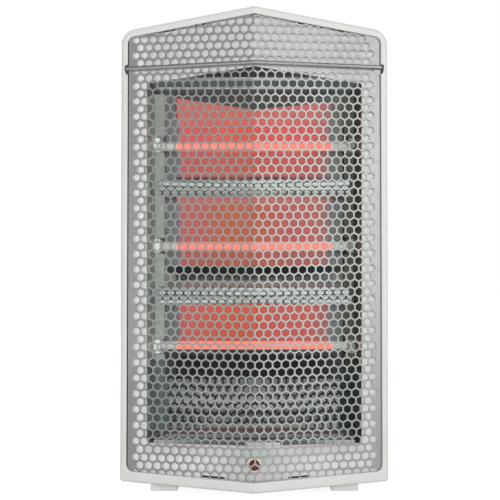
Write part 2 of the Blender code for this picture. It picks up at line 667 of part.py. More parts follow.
def make_feet():
    for s, side in ((-1, "left"), (1, "right")):
        xc = s * 108.5
        w = 16.3
        prof = [(xc - w, 1.5), (xc - w + 1.5, 0.0), (xc + w - 1.5, 0.0), (xc + w, 1.5), (xc + w - 1.0, FLOOR_OF_BODY - GAP), (xc - w + 1.0, FLOOR_OF_BODY - GAP)]
        ob = prism("foot_" + side, prof, 'Y', -41.6, 84.0, FOOT_M)
        cuts = []
        for y in (-22.0, 48.0):
            cuts.append(turned("tmp_step", [(0, -2), (5.2, -2), (5.2, 7.0), (2.4, 7.0), (2.4, 20), (0, 20)], (xc, y, 0), (0, 0, 1), BLACK, n=12, smooth=None))
        cut(ob, joined_cutter("foot_%s_cutter" % side, cuts))
        for k, y in enumerate((-22.0, 48.0)):
            turned("foot_screw_%s_%d" % (side, k + 1),
                   [(0, 3.6), (4.2, 3.8), (4.6, 5.0), (4.6, 6.7), (1.9, 6.7), (1.9, 22.0), (0, 23.5)],
                   (xc, y, 0), (0, 0, 1), SCREW_M, n=12)


def make_back_screws():
    k = 0
    for z in (44.0, 500.0):
        for s in (-1, 1):
            k += 1
            turned("back_screw_%d" % k,
                   [(0, -12.0), (1.8, -10.5), (1.8, 0.3), (4.4, 0.3), (4.4, 1.4), (2.8, 2.4), (0, 2.4)],
                   (s * 126.0, BACK_PLANE_Y, z), (0, 1, 0), SCREW_M, n=12)


make_bezel()
make_grille()
make_bar()
make_panel()
make_wrap()
make_back_cover()
make_base_pan()
make_controls()
make_reflector()
make_dividers()
make_cavity()
make_pilot()
make_internals()
make_feet()
make_back_screws()
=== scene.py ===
"""Looks of the three-tube quartz heater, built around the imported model."""
import json
import math

import bmesh
import bpy
import numpy as np
from mathutils import Matrix, Vector
from mathutils.geometry import delaunay_2d_cdt


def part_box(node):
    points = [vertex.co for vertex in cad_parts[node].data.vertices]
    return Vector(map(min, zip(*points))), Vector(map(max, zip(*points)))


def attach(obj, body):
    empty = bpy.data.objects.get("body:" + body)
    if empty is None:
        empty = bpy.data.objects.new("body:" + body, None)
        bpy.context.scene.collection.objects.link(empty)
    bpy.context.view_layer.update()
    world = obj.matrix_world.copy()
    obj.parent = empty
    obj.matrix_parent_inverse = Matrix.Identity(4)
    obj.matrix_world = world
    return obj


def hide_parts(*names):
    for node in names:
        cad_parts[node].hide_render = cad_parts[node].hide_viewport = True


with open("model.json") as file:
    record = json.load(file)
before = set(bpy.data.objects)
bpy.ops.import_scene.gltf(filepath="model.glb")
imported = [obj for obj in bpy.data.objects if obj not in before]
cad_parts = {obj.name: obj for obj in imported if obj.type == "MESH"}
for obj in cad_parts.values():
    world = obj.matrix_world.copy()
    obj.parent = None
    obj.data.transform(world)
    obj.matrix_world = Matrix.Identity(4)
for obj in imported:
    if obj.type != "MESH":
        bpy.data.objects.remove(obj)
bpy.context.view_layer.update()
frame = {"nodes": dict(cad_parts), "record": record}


MM = 0.001
HOUSING = "housing"

# ------------------------------------------------------------------ dimensions (mm)
PROW_Y = -95.0
ANG = math.radians(10.4)
PROW_TAN = math.tan(ANG)
HALF_W_BOT, HALF_W_TOP = 158.6, 156.6
TOP_PEAK_Z, TOP_SLOPE = 571.0, 0.1507
BOT_PEAK_Z, BOT_CORNER_Z = 7.6, 16.5
R_TOP, R_BOT = 18.0, 4.0
RIM_SIDE, RIM_TOP, RIM_BOT = 7.6, 8.6, 12.4
BEZEL_BACK_Y = -42.0
GUARD_OFF, GUARD_T = 3.3, 0.9
PITCH, ROW = 10.5, 10.5 * math.sqrt(3) / 2
HOLE_AF = 8.45
FOCAL = 1092.5
ROW_Z0 = 35.3
PANEL_OFF, PANEL_T = 9.5, 0.8
BAR_Z, BAR_R = 505.5, 2.3
BACK_PLANE_Y = 94.2
FLOOR_Z = 16.7


def centre(node):
    lo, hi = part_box(node)
    return (lo + hi) / 2


TUBE_Z = [centre("quartz_tube_%d" % k).z / MM for k in (1, 2, 3)]
TUBE_Y = centre("quartz_tube_1").y / MM
TUBE_R = 5.25
HEATED = 96.5


def front_y(x):
    return PROW_Y + abs(x) * PROW_TAN


def at_depth(d):
    return PROW_Y + d


# ------------------------------------------------------------------ mesh helpers
def finish_mesh(name, bm, mat=None, smooth=30.0, slot=None, ride=HOUSING, replaces=()):
    bmesh.ops.remove_doubles(bm, verts=bm.verts, dist=2e-7)
    bmesh.ops.recalc_face_normals(bm, faces=bm.faces)
    me = bpy.data.meshes.new(name)
    bm.to_mesh(me)
    bm.free()
    ob = bpy.data.objects.new(name, me)
    bpy.context.scene.collection.objects.link(ob)
    if mat is not None:
        me.materials.append(mat)
    if smooth is not None:
        me.shade_smooth()
        me.set_sharp_from_angle(angle=math.radians(smooth))
    if ride:
        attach(ob, ride)
    if replaces:
        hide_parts(*replaces)
    return ob


def round_corner(p, a, b, r, n):
    p, a, b = Vector(p), Vector(a), Vector(b)
    pa, pb = (a - p).normalized(), (b - p).normalized()
    half = pa.angle(pb) / 2.0
    t = r / math.tan(half)
    c = p + (pa + pb).normalized() * (r / math.sin(half))
    s, e = p + pa * t, p + pb * t
    a0 = math.atan2(s.y - c.y, s.x - c.x)
    a1 = math.atan2(e.y - c.y, e.x - c.x)
    d = (a1 - a0 + math.pi) % (2 * math.pi) - math.pi
    return [(c.x + r * math.cos(a0 + d * i / n), c.y + r * math.sin(a0 + d * i / n)) for i in range(n + 1)]


def outline(side, top, bot, r_top, r_bot, flat_bottom=None, nt=14, nb=5):
    wb, wt = HALF_W_BOT - side, HALF_W_TOP - side
    zt, zp = TOP_PEAK_Z - TOP_SLOPE * wt - top, TOP_PEAK_Z - top
    if flat_bottom is None:
        zb, zbp = BOT_CORNER_Z + bot, BOT_PEAK_Z + bot
    else:
        zb = zbp = flat_bottom
    bp, bc, tc, tp = (0.0, zbp), (wb, zb), (wt, zt), (0.0, zp)
    right = round_corner(bc, bp, tc, r_bot, nb) + round_corner(tc, bc, tp, r_top, nt)
    return [bp] + right + [tp] + [(-x, z) for x, z in reversed(right)]


def cavity_outline(grow=0.0, r=2.0, nt=14, nb=5):
    w, zt, zpk, zbo = 127.0 + grow, 486.0 + grow, 503.0 + grow, 61.4 - grow
    bp, bc, tc, tp = (0.0, zbo), (w, zbo), (w, zt), (0.0, zpk)
    right = round_corner(bc, bp, tc, r, nb) + round_corner(tc, bc, tp, r, nt)
    return [bp] + right + [tp] + [(-x, z) for x, z in reversed(right)]


def loop3(pts, yfun):
    return [(x, yfun(x), z) for x, z in pts]


def add_loops(bm, loops):
    return [[bm.verts.new((p[0] * MM, p[1] * MM, p[2] * MM)) for p in lp] for lp in loops]


def bridge(bm, a, b, closed=True):
    n = len(a)
    for j in range(n if closed else n - 1):
        j2 = (j + 1) % n
        bm.faces.new((a[j], a[j2], b[j2], b[j]))


def ring_loft(name, loops, **kw):
    bm = bmesh.new()
    vs = add_loops(bm, loops)
    for i in range(len(vs)):
        bridge(bm, vs[i], vs[(i + 1) % len(vs)])
    return finish_mesh(name, bm, **kw)


def stack_bm(loops):
    bm = bmesh.new()
    vs = add_loops(bm, loops)
    for i in range(len(vs) - 1):
        bridge(bm, vs[i], vs[i + 1])
    bm.faces.new(vs[0])
    bm.faces.new(vs[-1])
    return bm


def stack_loft(name, loops, **kw):
    return finish_mesh(name, stack_bm(loops), **kw)


def turned_bm(profile, origin, axis, n=48, flute=None, bm=None):
    """Closed body of revolution; profile of (radius, height); flute(angle, r, h) may vary the radius."""
    q = Vector((0, 0, 1)).rotation_difference(Vector(axis).normalized())
    o = Vector(origin)
    bm = bm or bmesh.new()
    rings = []
    for r, h in profile:
        if r <= 1e-9:
            rings.append([bm.verts.new((o + q @ Vector((0, 0, h))) * MM)])
        else:
            ring = []
            for k in range(n):
                a = 2 * math.pi * k / n
                rr = flute(a, r, h) if flute else r
                ring.append(bm.verts.new((o + q @ Vector((rr * math.cos(a), rr * math.sin(a), h))) * MM))
            rings.append(ring)
    m = len(rings)
    open_ends = len(rings[0]) == 1 and len(rings[-1]) == 1
    for i in range(m - 1 if open_ends else m):
        a, b = rings[i], rings[(i + 1) % m]
        for k in range(n):
            k2 = (k + 1) % n
            if len(a) == 1 and len(b) == 1:
                break
            if len(a) == 1:
                bm.faces.new((a[0], b[k], b[k2]))
            elif len(b) == 1:
                bm.faces.new((a[k], b[0], a[k2]))
            else:
                bm.faces.new((a[k], b[k], b[k2], a[k2]))
    return bm


def turned(name, profile, origin, axis, n=48, flute=None, **kw):
    return finish_mesh(name, turned_bm(profile, origin, axis, n, flute), **kw)


def strip(name, outer, inner, axis, a, b, **kw):
    def place(p, t):
        u, v = p
        return Vector({'X': (t, u, v), 'Y': (u, t, v), 'Z': (u, v, t)}[axis]) * MM
    bm = bmesh.new()
    o0 = [bm.verts.new(place(p, a)) for p in outer]
    o1 = [bm.verts.new(place(p, b)) for p in outer]
    i0 = [bm.verts.new(place(p, a)) for p in inner]
    i1 = [bm.verts.new(place(p, b)) for p in inner]
    n = len(outer)
    for j in range(n - 1):
        bm.faces.new((o0[j], o0[j + 1], o1[j + 1], o1[j]))
        bm.faces.new((i0[j + 1], i0[j], i1[j], i1[j + 1]))
        bm.faces.new((o0[j + 1], o0[j], i0[j], i0[j + 1]))
        bm.faces.new((o1[j], o1[j + 1], i1[j + 1], i1[j]))
    for j in (0, n - 1):
        bm.faces.new((o0[j], o1[j], i1[j], i0[j]))
    return finish_mesh(name, bm, **kw)


def offset_line(pts, t):
    pts = [Vector(p) for p in pts]
    out = []
    for i, p in enumerate(pts):
        d1 = (p - pts[i - 1]) if i > 0 else (pts[1] - p)
        d2 = (pts[i + 1] - p) if i < len(pts) - 1 else d1
        n1 = Vector((-d1.y, d1.x)).normalized()
        n2 = Vector((-d2.y, d2.x)).normalized()
        m = (n1 + n2).normalized()
        out.append(tuple(p + m * (t / m.dot(n1))))
    return [tuple(p) for p in pts], out


def fillet_line(pts, r, n=5):
    """Polyline with its inner bends rounded to radius r."""
    out = [pts[0]]
    for i in range(1, len(pts) - 1):
        out += round_corner(pts[i], pts[i - 1], pts[i + 1], r, n)
    return out + [pts[-1]]


def stadium(cx, cz, hw, hh, n=8):
    """Rounded slot outline (x, z), counter-clockwise."""
    r = min(hw, hh)
    pts = []
    if hw >= hh:
        for i in range(n + 1):
            a = -math.pi / 2 + math.pi * i / n
            pts.append((cx + hw - r + r * math.cos(a), cz + r * math.sin(a)))
        for i in range(n + 1):
            a = math.pi / 2 + math.pi * i / n
            pts.append((cx - hw + r + r * math.cos(a), cz + r * math.sin(a)))
    return pts


def rounded_rect(cx, cz, hw, hh, r, n=6):
    pts = []
    for sx, sz, a0 in ((1, -1, -90), (1, 1, 0), (-1, 1, 90), (-1, -1, 180)):
        for i in range(n + 1):
            a = math.radians(a0 + 90 * i / n)
            pts.append((cx + sx * (hw - r) + r * math.cos(a), cz + sz * (hh - r) + r * math.sin(a)))
    return pts


def prism_bm(profile, axis, a, b, bm=None):
    bm = bm or bmesh.new()
    def place(p, t):
        u, v = p
        return Vector({'X': (t, u, v), 'Y': (u, t, v), 'Z': (u, v, t)}[axis]) * MM
    lo = [bm.verts.new(place(p, a)) for p in profile]
    hi = [bm.verts.new(place(p, b)) for p in profile]
    n = len(profile)
    for j in range(n):
        j2 = (j + 1) % n
        bm.faces.new((lo[j], lo[j2], hi[j2], hi[j]))
    bm.faces.new(lo)
    bm.faces.new(hi)
    return bm


def carve(ob, cutter_bm, smooth=30.0):
    """Cut a closed cutting mesh out of ob and keep the result as ob's own mesh."""
    bmesh.ops.recalc_face_normals(cutter_bm, faces=cutter_bm.faces)
    me = bpy.data.meshes.new("tmp_cutter")
    cutter_bm.to_mesh(me)
    cutter_bm.free()
    cu = bpy.data.objects.new("tmp_cutter", me)
    bpy.context.scene.collection.objects.link(cu)
    m = ob.modifiers.new("cut", 'BOOLEAN')
    m.operation, m.object, m.solver = 'DIFFERENCE', cu, 'EXACT'
    bpy.context.view_layer.update()
    ev = ob.evaluated_get(bpy.context.evaluated_depsgraph_get())
    new = bpy.data.meshes.new_from_object(ev)
    ob.modifiers.remove(m)
    mats = list(ob.data.materials)
    ob.data = new
    if not new.materials:
        for k in mats:
            new.materials.append(k)
    bpy.data.objects.remove(cu, do_unlink=True)
    new.shade_smooth()
    new.set_sharp_from_angle(angle=math.radians(smooth))


# ------------------------------------------------------------------ materials
def nt_of(name):
    m = bpy.data.materials.new(name)
    m.use_nodes = True
    nt = m.node_tree
    return m, nt, nt.nodes["Principled BSDF"]


def node(nt, kind, **props):
    n = nt.nodes.new(kind)
    for k, v in props.items():
        setattr(n, k, v)
    return n


def noise(nt, scale, stretch=(1, 1, 1), detail=4.0, rough=0.6):
    tc = node(nt, "ShaderNodeTexCoord")
    mp = node(nt, "ShaderNodeMapping")
    mp.inputs["Scale"].default_value = stretch
    nz = node(nt, "ShaderNodeTexNoise")
    nz.inputs["Scale"].default_value = scale
    nz.inputs["Detail"].default_value = detail
    nz.inputs["Roughness"].default_value = rough
    nt.links.new(tc.outputs["Object"], mp.inputs["Vector"])
    nt.links.new(mp.outputs["Vector"], nz.inputs["Vector"])
    return nz.outputs["Fac"]


def map_range(nt, val, a, b, c, d, clamp=True):
    m = node(nt, "ShaderNodeMapRange", clamp=clamp)
    nt.links.new(val, m.inputs["Value"])
    for s, v in zip(("From Min", "From Max", "To Min", "To Max"), (a, b, c, d)):
        m.inputs[s].default_value = v
    return m.outputs["Result"]


def mix_color(nt, fac, c1, c2):
    m = node(nt, "ShaderNodeMix", data_type='RGBA')
    if isinstance(fac, float):
        m.inputs[0].default_value = fac
    else:
        nt.links.new(fac, m.inputs[0])
    for i, c in ((6, c1), (7, c2)):
        if isinstance(c, (tuple, list)):
            m.inputs[i].default_value = (*c, 1.0) if len(c) == 3 else c
        else:
            nt.links.new(c, m.inputs[i])
    return m.outputs[2]


def mix_blend(nt, mode, fac, c1, c2):
    m = node(nt, "ShaderNodeMix", data_type='RGBA', blend_type=mode)
    if isinstance(fac, (int, float)):
        m.inputs[0].default_value = fac
    else:
        nt.links.new(fac, m.inputs[0])
    for i, c in ((6, c1), (7, c2)):
        if isinstance(c, (tuple, list)):
            m.inputs[i].default_value = (*c, 1.0) if len(c) == 3 else c
        else:
            nt.links.new(c, m.inputs[i])
    return m.outputs[2]


def surface(name, base, rough, metal=0.0, var=0.05, var_scale=60.0, rough_var=0.06, rough_scale=140.0,
            stretch=(1, 1, 1), bump=0.12, bump_scale=1400.0, bump_dist=0.00012, coat=0.0, tint=None, extra=None):
    m, nt, b = nt_of(name)
    col = mix_color(nt, map_range(nt, noise(nt, var_scale, stretch), 0.3, 0.7, 0.0, 1.0),
                    tuple(max(c * (1 - var), 0) for c in base),
                    tuple(min(c * (1 + var), 1) for c in (tint or base)))
    if extra:
        col = extra(nt, col)
    nt.links.new(col, b.inputs["Base Color"])
    r = map_range(nt, noise(nt, rough_scale, stretch, 6.0), 0.25, 0.75, max(rough - rough_var, 0.02), rough + rough_var)
    nt.links.new(r, b.inputs["Roughness"])
    b.inputs["Metallic"].default_value = metal
    b.inputs["Coat Weight"].default_value = coat
    if coat:
        b.inputs["Coat Roughness"].default_value = 0.12
    if bump:
        bp = node(nt, "ShaderNodeBump")
        bp.inputs["Strength"].default_value = bump
        bp.inputs["Distance"].default_value = bump_dist
        nt.links.new(noise(nt, bump_scale, stretch, 3.0), bp.inputs["Height"])
        nt.links.new(bp.outputs["Normal"], b.inputs["Normal"])
    return m


def position_axis(nt, axis):
    tc = node(nt, "ShaderNodeTexCoord")
    sp = node(nt, "ShaderNodeSeparateXYZ")
    nt.links.new(tc.outputs["Object"], sp.inputs["Vector"])
    return sp.outputs[axis]


def math_node(nt, op, a, b=None):
    m = node(nt, "ShaderNodeMath", operation=op)
    for i, v in enumerate((a, b)):
        if v is None:
            continue
        if isinstance(v, (int, float)):
            m.inputs[i].default_value = v
        else:
            nt.links.new(v, m.inputs[i])
    return m.outputs[0]


WHITE_PLASTIC = surface("white_plastic", (0.785, 0.79, 0.765), 0.34, var=0.018, var_scale=35, rough_var=0.05,
                        bump=0.10, bump_scale=2200, bump_dist=0.00008, coat=0.15)
WHITE_ENAMEL = surface("white_enamel", (0.77, 0.775, 0.75), 0.36, var=0.02, var_scale=28, rough_var=0.06,
                       bump=0.22, bump_scale=650, bump_dist=0.00012, coat=0.2)
def side_shade(c_left, c_right):
    """Painted shade: the sheet goes darker from the -X side to the +X side, standing in for the shadow on the right of
    the cavity.
    """
    def f(nt, col):
        k = map_range(nt, position_axis(nt, "X"), -0.05, 0.11, 0.0, 1.0)
        return mix_blend(nt, 'MULTIPLY', 1.0, col, mix_color(nt, k, c_left, c_right))
    return f


def guard_shade(nt, col):
    """Painted shade: darker towards the +X edge and low on the -X side, where the guard's sheen falls off."""
    x, z = position_axis(nt, "X"), position_axis(nt, "Z")
    right = map_range(nt, x, 0.078, 0.100, 0.0, 1.0)
    low = math_node(nt, 'MULTIPLY', map_range(nt, x, -0.060, -0.090, 0.0, 1.0), map_range(nt, z, 0.125, 0.165, 1.0, 0.0))
    col = mix_blend(nt, 'MULTIPLY', 1.0, col, mix_color(nt, right, (1.0, 1.0, 1.0), (0.78, 0.79, 0.78)))
    return mix_blend(nt, 'MULTIPLY', 1.0, col, mix_color(nt, low, (1.0, 1.0, 1.0), (0.78, 0.80, 0.78)))


GUARD = surface("guard_enamel", (0.64, 0.65, 0.63), 0.36, metal=0.75, var=0.05, var_scale=160, rough_var=0.06,
                bump=0.12, bump_scale=1500, bump_dist=0.00006, extra=guard_shade)


def painted_panel_light(nt, col):
    """Painted light: a cool light cast on the enamel round the pilot lamp, and the enamel painted lighter near its
    outer edges and low beside the lamp, where it is less shaded.
    """
    x, z = position_axis(nt, "X"), position_axis(nt, "Z")
    dx = math_node(nt, 'POWER', math_node(nt, 'ABSOLUTE', math_node(nt, 'MULTIPLY', x, 1.0 / 0.030)), 2.0)
    dz = math_node(nt, 'POWER', math_node(nt, 'ABSOLUTE', math_node(nt, 'MULTIPLY', math_node(nt, 'SUBTRACT', z, 0.050), 1.0 / 0.017)), 2.0)
    # painted cool light cast round the lamp
    k = map_range(nt, math_node(nt, 'ADD', dx, dz), 0.1, 1.3, 0.60, 0.0)
    ax = math_node(nt, 'ABSOLUTE', x)
    # painted light: near white at the outer edges and low beside the lamp
    painted_edge_light = math_node(nt, 'MAXIMUM', map_range(nt, ax, 0.1265, 0.1325, 0.0, 1.0),
                      math_node(nt, 'MULTIPLY', map_range(nt, z, 0.042, 0.053, 1.0, 0.0), map_range(nt, ax, 0.022, 0.065, 0.0, 1.0)))
    return mix_color(nt, k, mix_color(nt, painted_edge_light, col, (0.985, 0.985, 0.965)), (0.56, 0.66, 0.625))


PANEL = surface("panel_enamel", (0.81, 0.815, 0.80), 0.42, var=0.02, var_scale=30, rough_var=0.06,
                bump=0.2, bump_scale=700, bump_dist=0.0001, extra=painted_panel_light)
# Painted shade: the zinc sheets, posts, cheeks, baffle and clips below darken towards +X through side_shade.
ZINC = surface("zinc_steel", (0.50, 0.55, 0.50), 0.34, metal=0.55, var=0.14, var_scale=70, rough_var=0.12,
               stretch=(1, 1, 0.25), bump=0.15, bump_scale=900, bump_dist=0.00008, tint=(0.56, 0.62, 0.54),
               extra=side_shade((1.0, 1.0, 1.0), (0.30, 0.31, 0.27)))
POST = surface("zinc_posts", (0.66, 0.73, 0.64), 0.36, metal=0.35, var=0.12, var_scale=70, rough_var=0.10,
               stretch=(1, 1, 0.25), bump=0.15, bump_scale=900, bump_dist=0.00008,
               extra=side_shade((1.0, 1.0, 1.0), (0.25, 0.25, 0.21)))
CHEEK = surface("zinc_cheeks", (0.32, 0.395, 0.355), 0.36, metal=0.5, var=0.14, var_scale=70, rough_var=0.10,
                stretch=(1, 1, 0.25), bump=0.15, bump_scale=900, bump_dist=0.00008,
                extra=side_shade((1.0, 1.0, 1.0), (0.46, 0.46, 0.39)))
LIP_SHADE_MID, LIP_LIT_LEFT, LIP_LIT_RIGHT = (0.35, 0.40, 0.37), (0.72, 0.78, 0.74), (0.86, 0.93, 0.88)


def lip_shade(nt, col):
    """Painted light and shade: darker in the middle, brighter towards both ends, brightest on the +X side."""
    x = position_axis(nt, "X")
    ends = map_range(nt, math_node(nt, 'ABSOLUTE', x), 0.060, 0.100, 0.0, 1.0)
    side = mix_color(nt, map_range(nt, x, -0.02, 0.02, 0.0, 1.0), LIP_LIT_LEFT, LIP_LIT_RIGHT)
    return mix_blend(nt, 'MULTIPLY', 1.0, col, mix_color(nt, ends, LIP_SHADE_MID, side))


LIP = surface("zinc_lip", (1.0, 1.0, 1.0), 0.36, metal=0.45, var=0.10, var_scale=70, rough_var=0.10,
              stretch=(0.25, 1, 1), bump=0.15, bump_scale=900, bump_dist=0.00008, extra=lip_shade)


def shade_behind_hem(y_front):
    """Painted shade: dark everywhere behind the bright hem at the front edge."""
    def f(nt, col):
        k = map_range(nt, position_axis(nt, "Y"), y_front - 0.0003, y_front + 0.0003, 0.0, 1.0)
        return mix_color(nt, k, col, (0.048, 0.105, 0.090))
    return f


def hemmed(name, y_front, bounce):
    """Hemmed sheet whose painted-shade underside carries a weak painted glow (emission) standing in for bounce light
    from the bright trough below it.
    """
    m = surface(name, (0.84, 0.94, 0.87), 0.34, metal=0.2, var=0.08, var_scale=70, rough_var=0.10,
                bump=0.15, bump_scale=900, bump_dist=0.00008, extra=shade_behind_hem(y_front))
    nt = m.node_tree
    b = nt.nodes["Principled BSDF"]
    b.inputs["Emission Color"].default_value = (0.86, 1.0, 0.92, 1.0)
    k = map_range(nt, position_axis(nt, "Y"), y_front - 0.0003, y_front + 0.0003, 0.0, bounce)
    nt.links.new(math_node(nt, 'MULTIPLY', k, map_range(nt, noise(nt, 90), 0.35, 0.65, 0.75, 1.15)), b.inputs["Emission Strength"])
    return m


ROOF = hemmed("zinc_roof", -0.0357, 0.048)
SHIELD = hemmed("zinc_shield", -0.0417, 0.088)
BAFFLE = surface("zinc_baffle", (0.50, 0.66, 0.57), 0.5, metal=0.4, var=0.14, var_scale=70, rough_var=0.10,
                 bump=0.15, bump_scale=900, bump_dist=0.00008, extra=side_shade((1.0, 1.0, 1.0), (0.22, 0.28, 0.28)))
TAB = surface("tab_enamel", (0.84, 0.84, 0.83), 0.40, var=0.02, var_scale=60, rough_var=0.06, bump=0.15, bump_scale=900)
def clip_glint(m):
    """Painted glint: a weak emission on the bright clips, stronger on the -X side."""
    nt = m.node_tree
    b = nt.nodes["Principled BSDF"]
    b.inputs["Emission Color"].default_value = (0.86, 1.0, 0.92, 1.0)
    k = map_range(nt, position_axis(nt, "X"), -0.05, 0.11, 0.34, 0.07)
    nt.links.new(math_node(nt, 'MULTIPLY', k, map_range(nt, noise(nt, 500), 0.35, 0.65, 0.5, 1.2)), b.inputs["Emission Strength"])
    return m


CLIP = surface("clip_steel", (0.90, 0.96, 0.90), 0.30, metal=0.0, var=0.10, var_scale=400, rough_var=0.10,
               bump=0.2, bump_scale=1500, bump_dist=0.0001, extra=side_shade((1.0, 1.0, 1.0), (0.42, 0.40, 0.32)))
CLIP = clip_glint(CLIP)
# Painted shade: a dark separate material for the guard's back faces, standing in for the shade behind the sheet.
GUARD_BACK_SHADE = surface("guard_back_painted_shade", (0.075, 0.085, 0.08), 0.5, metal=0.2, var=0.1, var_scale=160, rough_var=0.06,
                     bump=0.12, bump_scale=1500, bump_dist=0.00006)
# Painted shadow: black for the strip and plates that darken gaps and slots.
SHADOW_GAP_BLACK = surface("shadow_gap_strip", (0.020, 0.020, 0.022), 0.7, var=0.2, var_scale=300, rough_var=0.08,
                 bump=0.4, bump_scale=2500, bump_dist=0.0001)
# Painted shadow: dark plugs in the rim's notches behind the bar's ends.
NOTCH_SHADOW = surface("notch_shadow_black", (0.07, 0.07, 0.07), 0.6, var=0.2, var_scale=300, rough_var=0.08,
               bump=0.4, bump_scale=2500, bump_dist=0.0001)
BLACK = surface("black_plastic", (0.022, 0.022, 0.023), 0.48, var=0.2, var_scale=200, rough_var=0.08,
                bump=0.5, bump_scale=1800, bump_dist=0.0001)
KNOB = surface("knob_plastic", (0.035, 0.035, 0.037), 0.30, var=0.15, var_scale=120, rough_var=0.06,
               bump=0.12, bump_scale=2400, bump_dist=0.00005, coat=0.2)
CERAMIC = surface("ceramic", (0.80, 0.80, 0.73), 0.62, var=0.06, var_scale=220, rough_var=0.08,
                  bump=0.35, bump_scale=1200, bump_dist=0.0001, tint=(0.84, 0.82, 0.72))
STEEL = surface("bright_steel", (0.62, 0.62, 0.61), 0.22, metal=1.0, var=0.08, var_scale=200, rough_var=0.08,
                bump=0.1, bump_scale=2500, bump_dist=0.00003)
SCREW = surface("screw_steel", (0.60, 0.60, 0.58), 0.26, metal=1.0, var=0.1, var_scale=500, rough_var=0.1,
                bump=0.1, bump_scale=3000, bump_dist=0.00003)
FOOT = surface("foot_plastic", (0.82, 0.82, 0.80), 0.45, var=0.03, var_scale=90, rough_var=0.06,
               bump=0.4, bump_scale=1500, bump_dist=0.0001)
CREAM = surface("lamp_cream", (0.86, 0.76, 0.69), 0.35, var=0.03, var_scale=200, rough_var=0.05,
                bump=0.1, bump_scale=2500, bump_dist=0.00004)
SLEEVE = surface("wire_sleeve", (0.60, 0.56, 0.48), 0.8, var=0.2, var_scale=900, rough_var=0.1,
                 bump=0.6, bump_scale=1500, bump_dist=0.0003)
MARK = surface("dial_marks", (0.80, 0.80, 0.78), 0.5, var=0.02, var_scale=300, rough_var=0.05, bump=0.1)


def mirror_material(name, base, rough, haze=0.04):
    """Polished reflector sheet: fine rolling lines along its length, slow waviness, a faint haze."""
    m, nt, b = nt_of(name)
    col = mix_color(nt, map_range(nt, noise(nt, 40, (0.4, 1, 1)), 0.3, 0.7, 0.0, 1.0),
                    tuple(c * 0.94 for c in base), base)
    nt.links.new(col, b.inputs["Base Color"])
    b.inputs["Metallic"].default_value = 1.0
    r = map_range(nt, noise(nt, 300, (0.03, 1, 1), 6.0), 0.25, 0.75, rough, rough + haze)
    nt.links.new(r, b.inputs["Roughness"])
    n1 = noise(nt, 22, (0.5, 1, 1), 2.0)
    n2 = noise(nt, 700, (0.02, 1, 1), 3.0)
    h = math_node(nt, 'ADD', n1, math_node(nt, 'MULTIPLY', n2, 0.02))
    bp = node(nt, "ShaderNodeBump")
    bp.inputs["Strength"].default_value = 0.10
    bp.inputs["Distance"].default_value = 0.0010
    nt.links.new(h, bp.inputs["Height"])
    nt.links.new(bp.outputs["Normal"], b.inputs["Normal"])
    return m


def band(nt, v, lo, hi, soft=0.0006):
    """1 between lo and hi, 0 outside."""
    return math_node(nt, 'MULTIPLY', map_range(nt, v, lo - soft, lo + soft, 0.0, 1.0), map_range(nt, v, hi - soft, hi + soft, 1.0, 0.0))


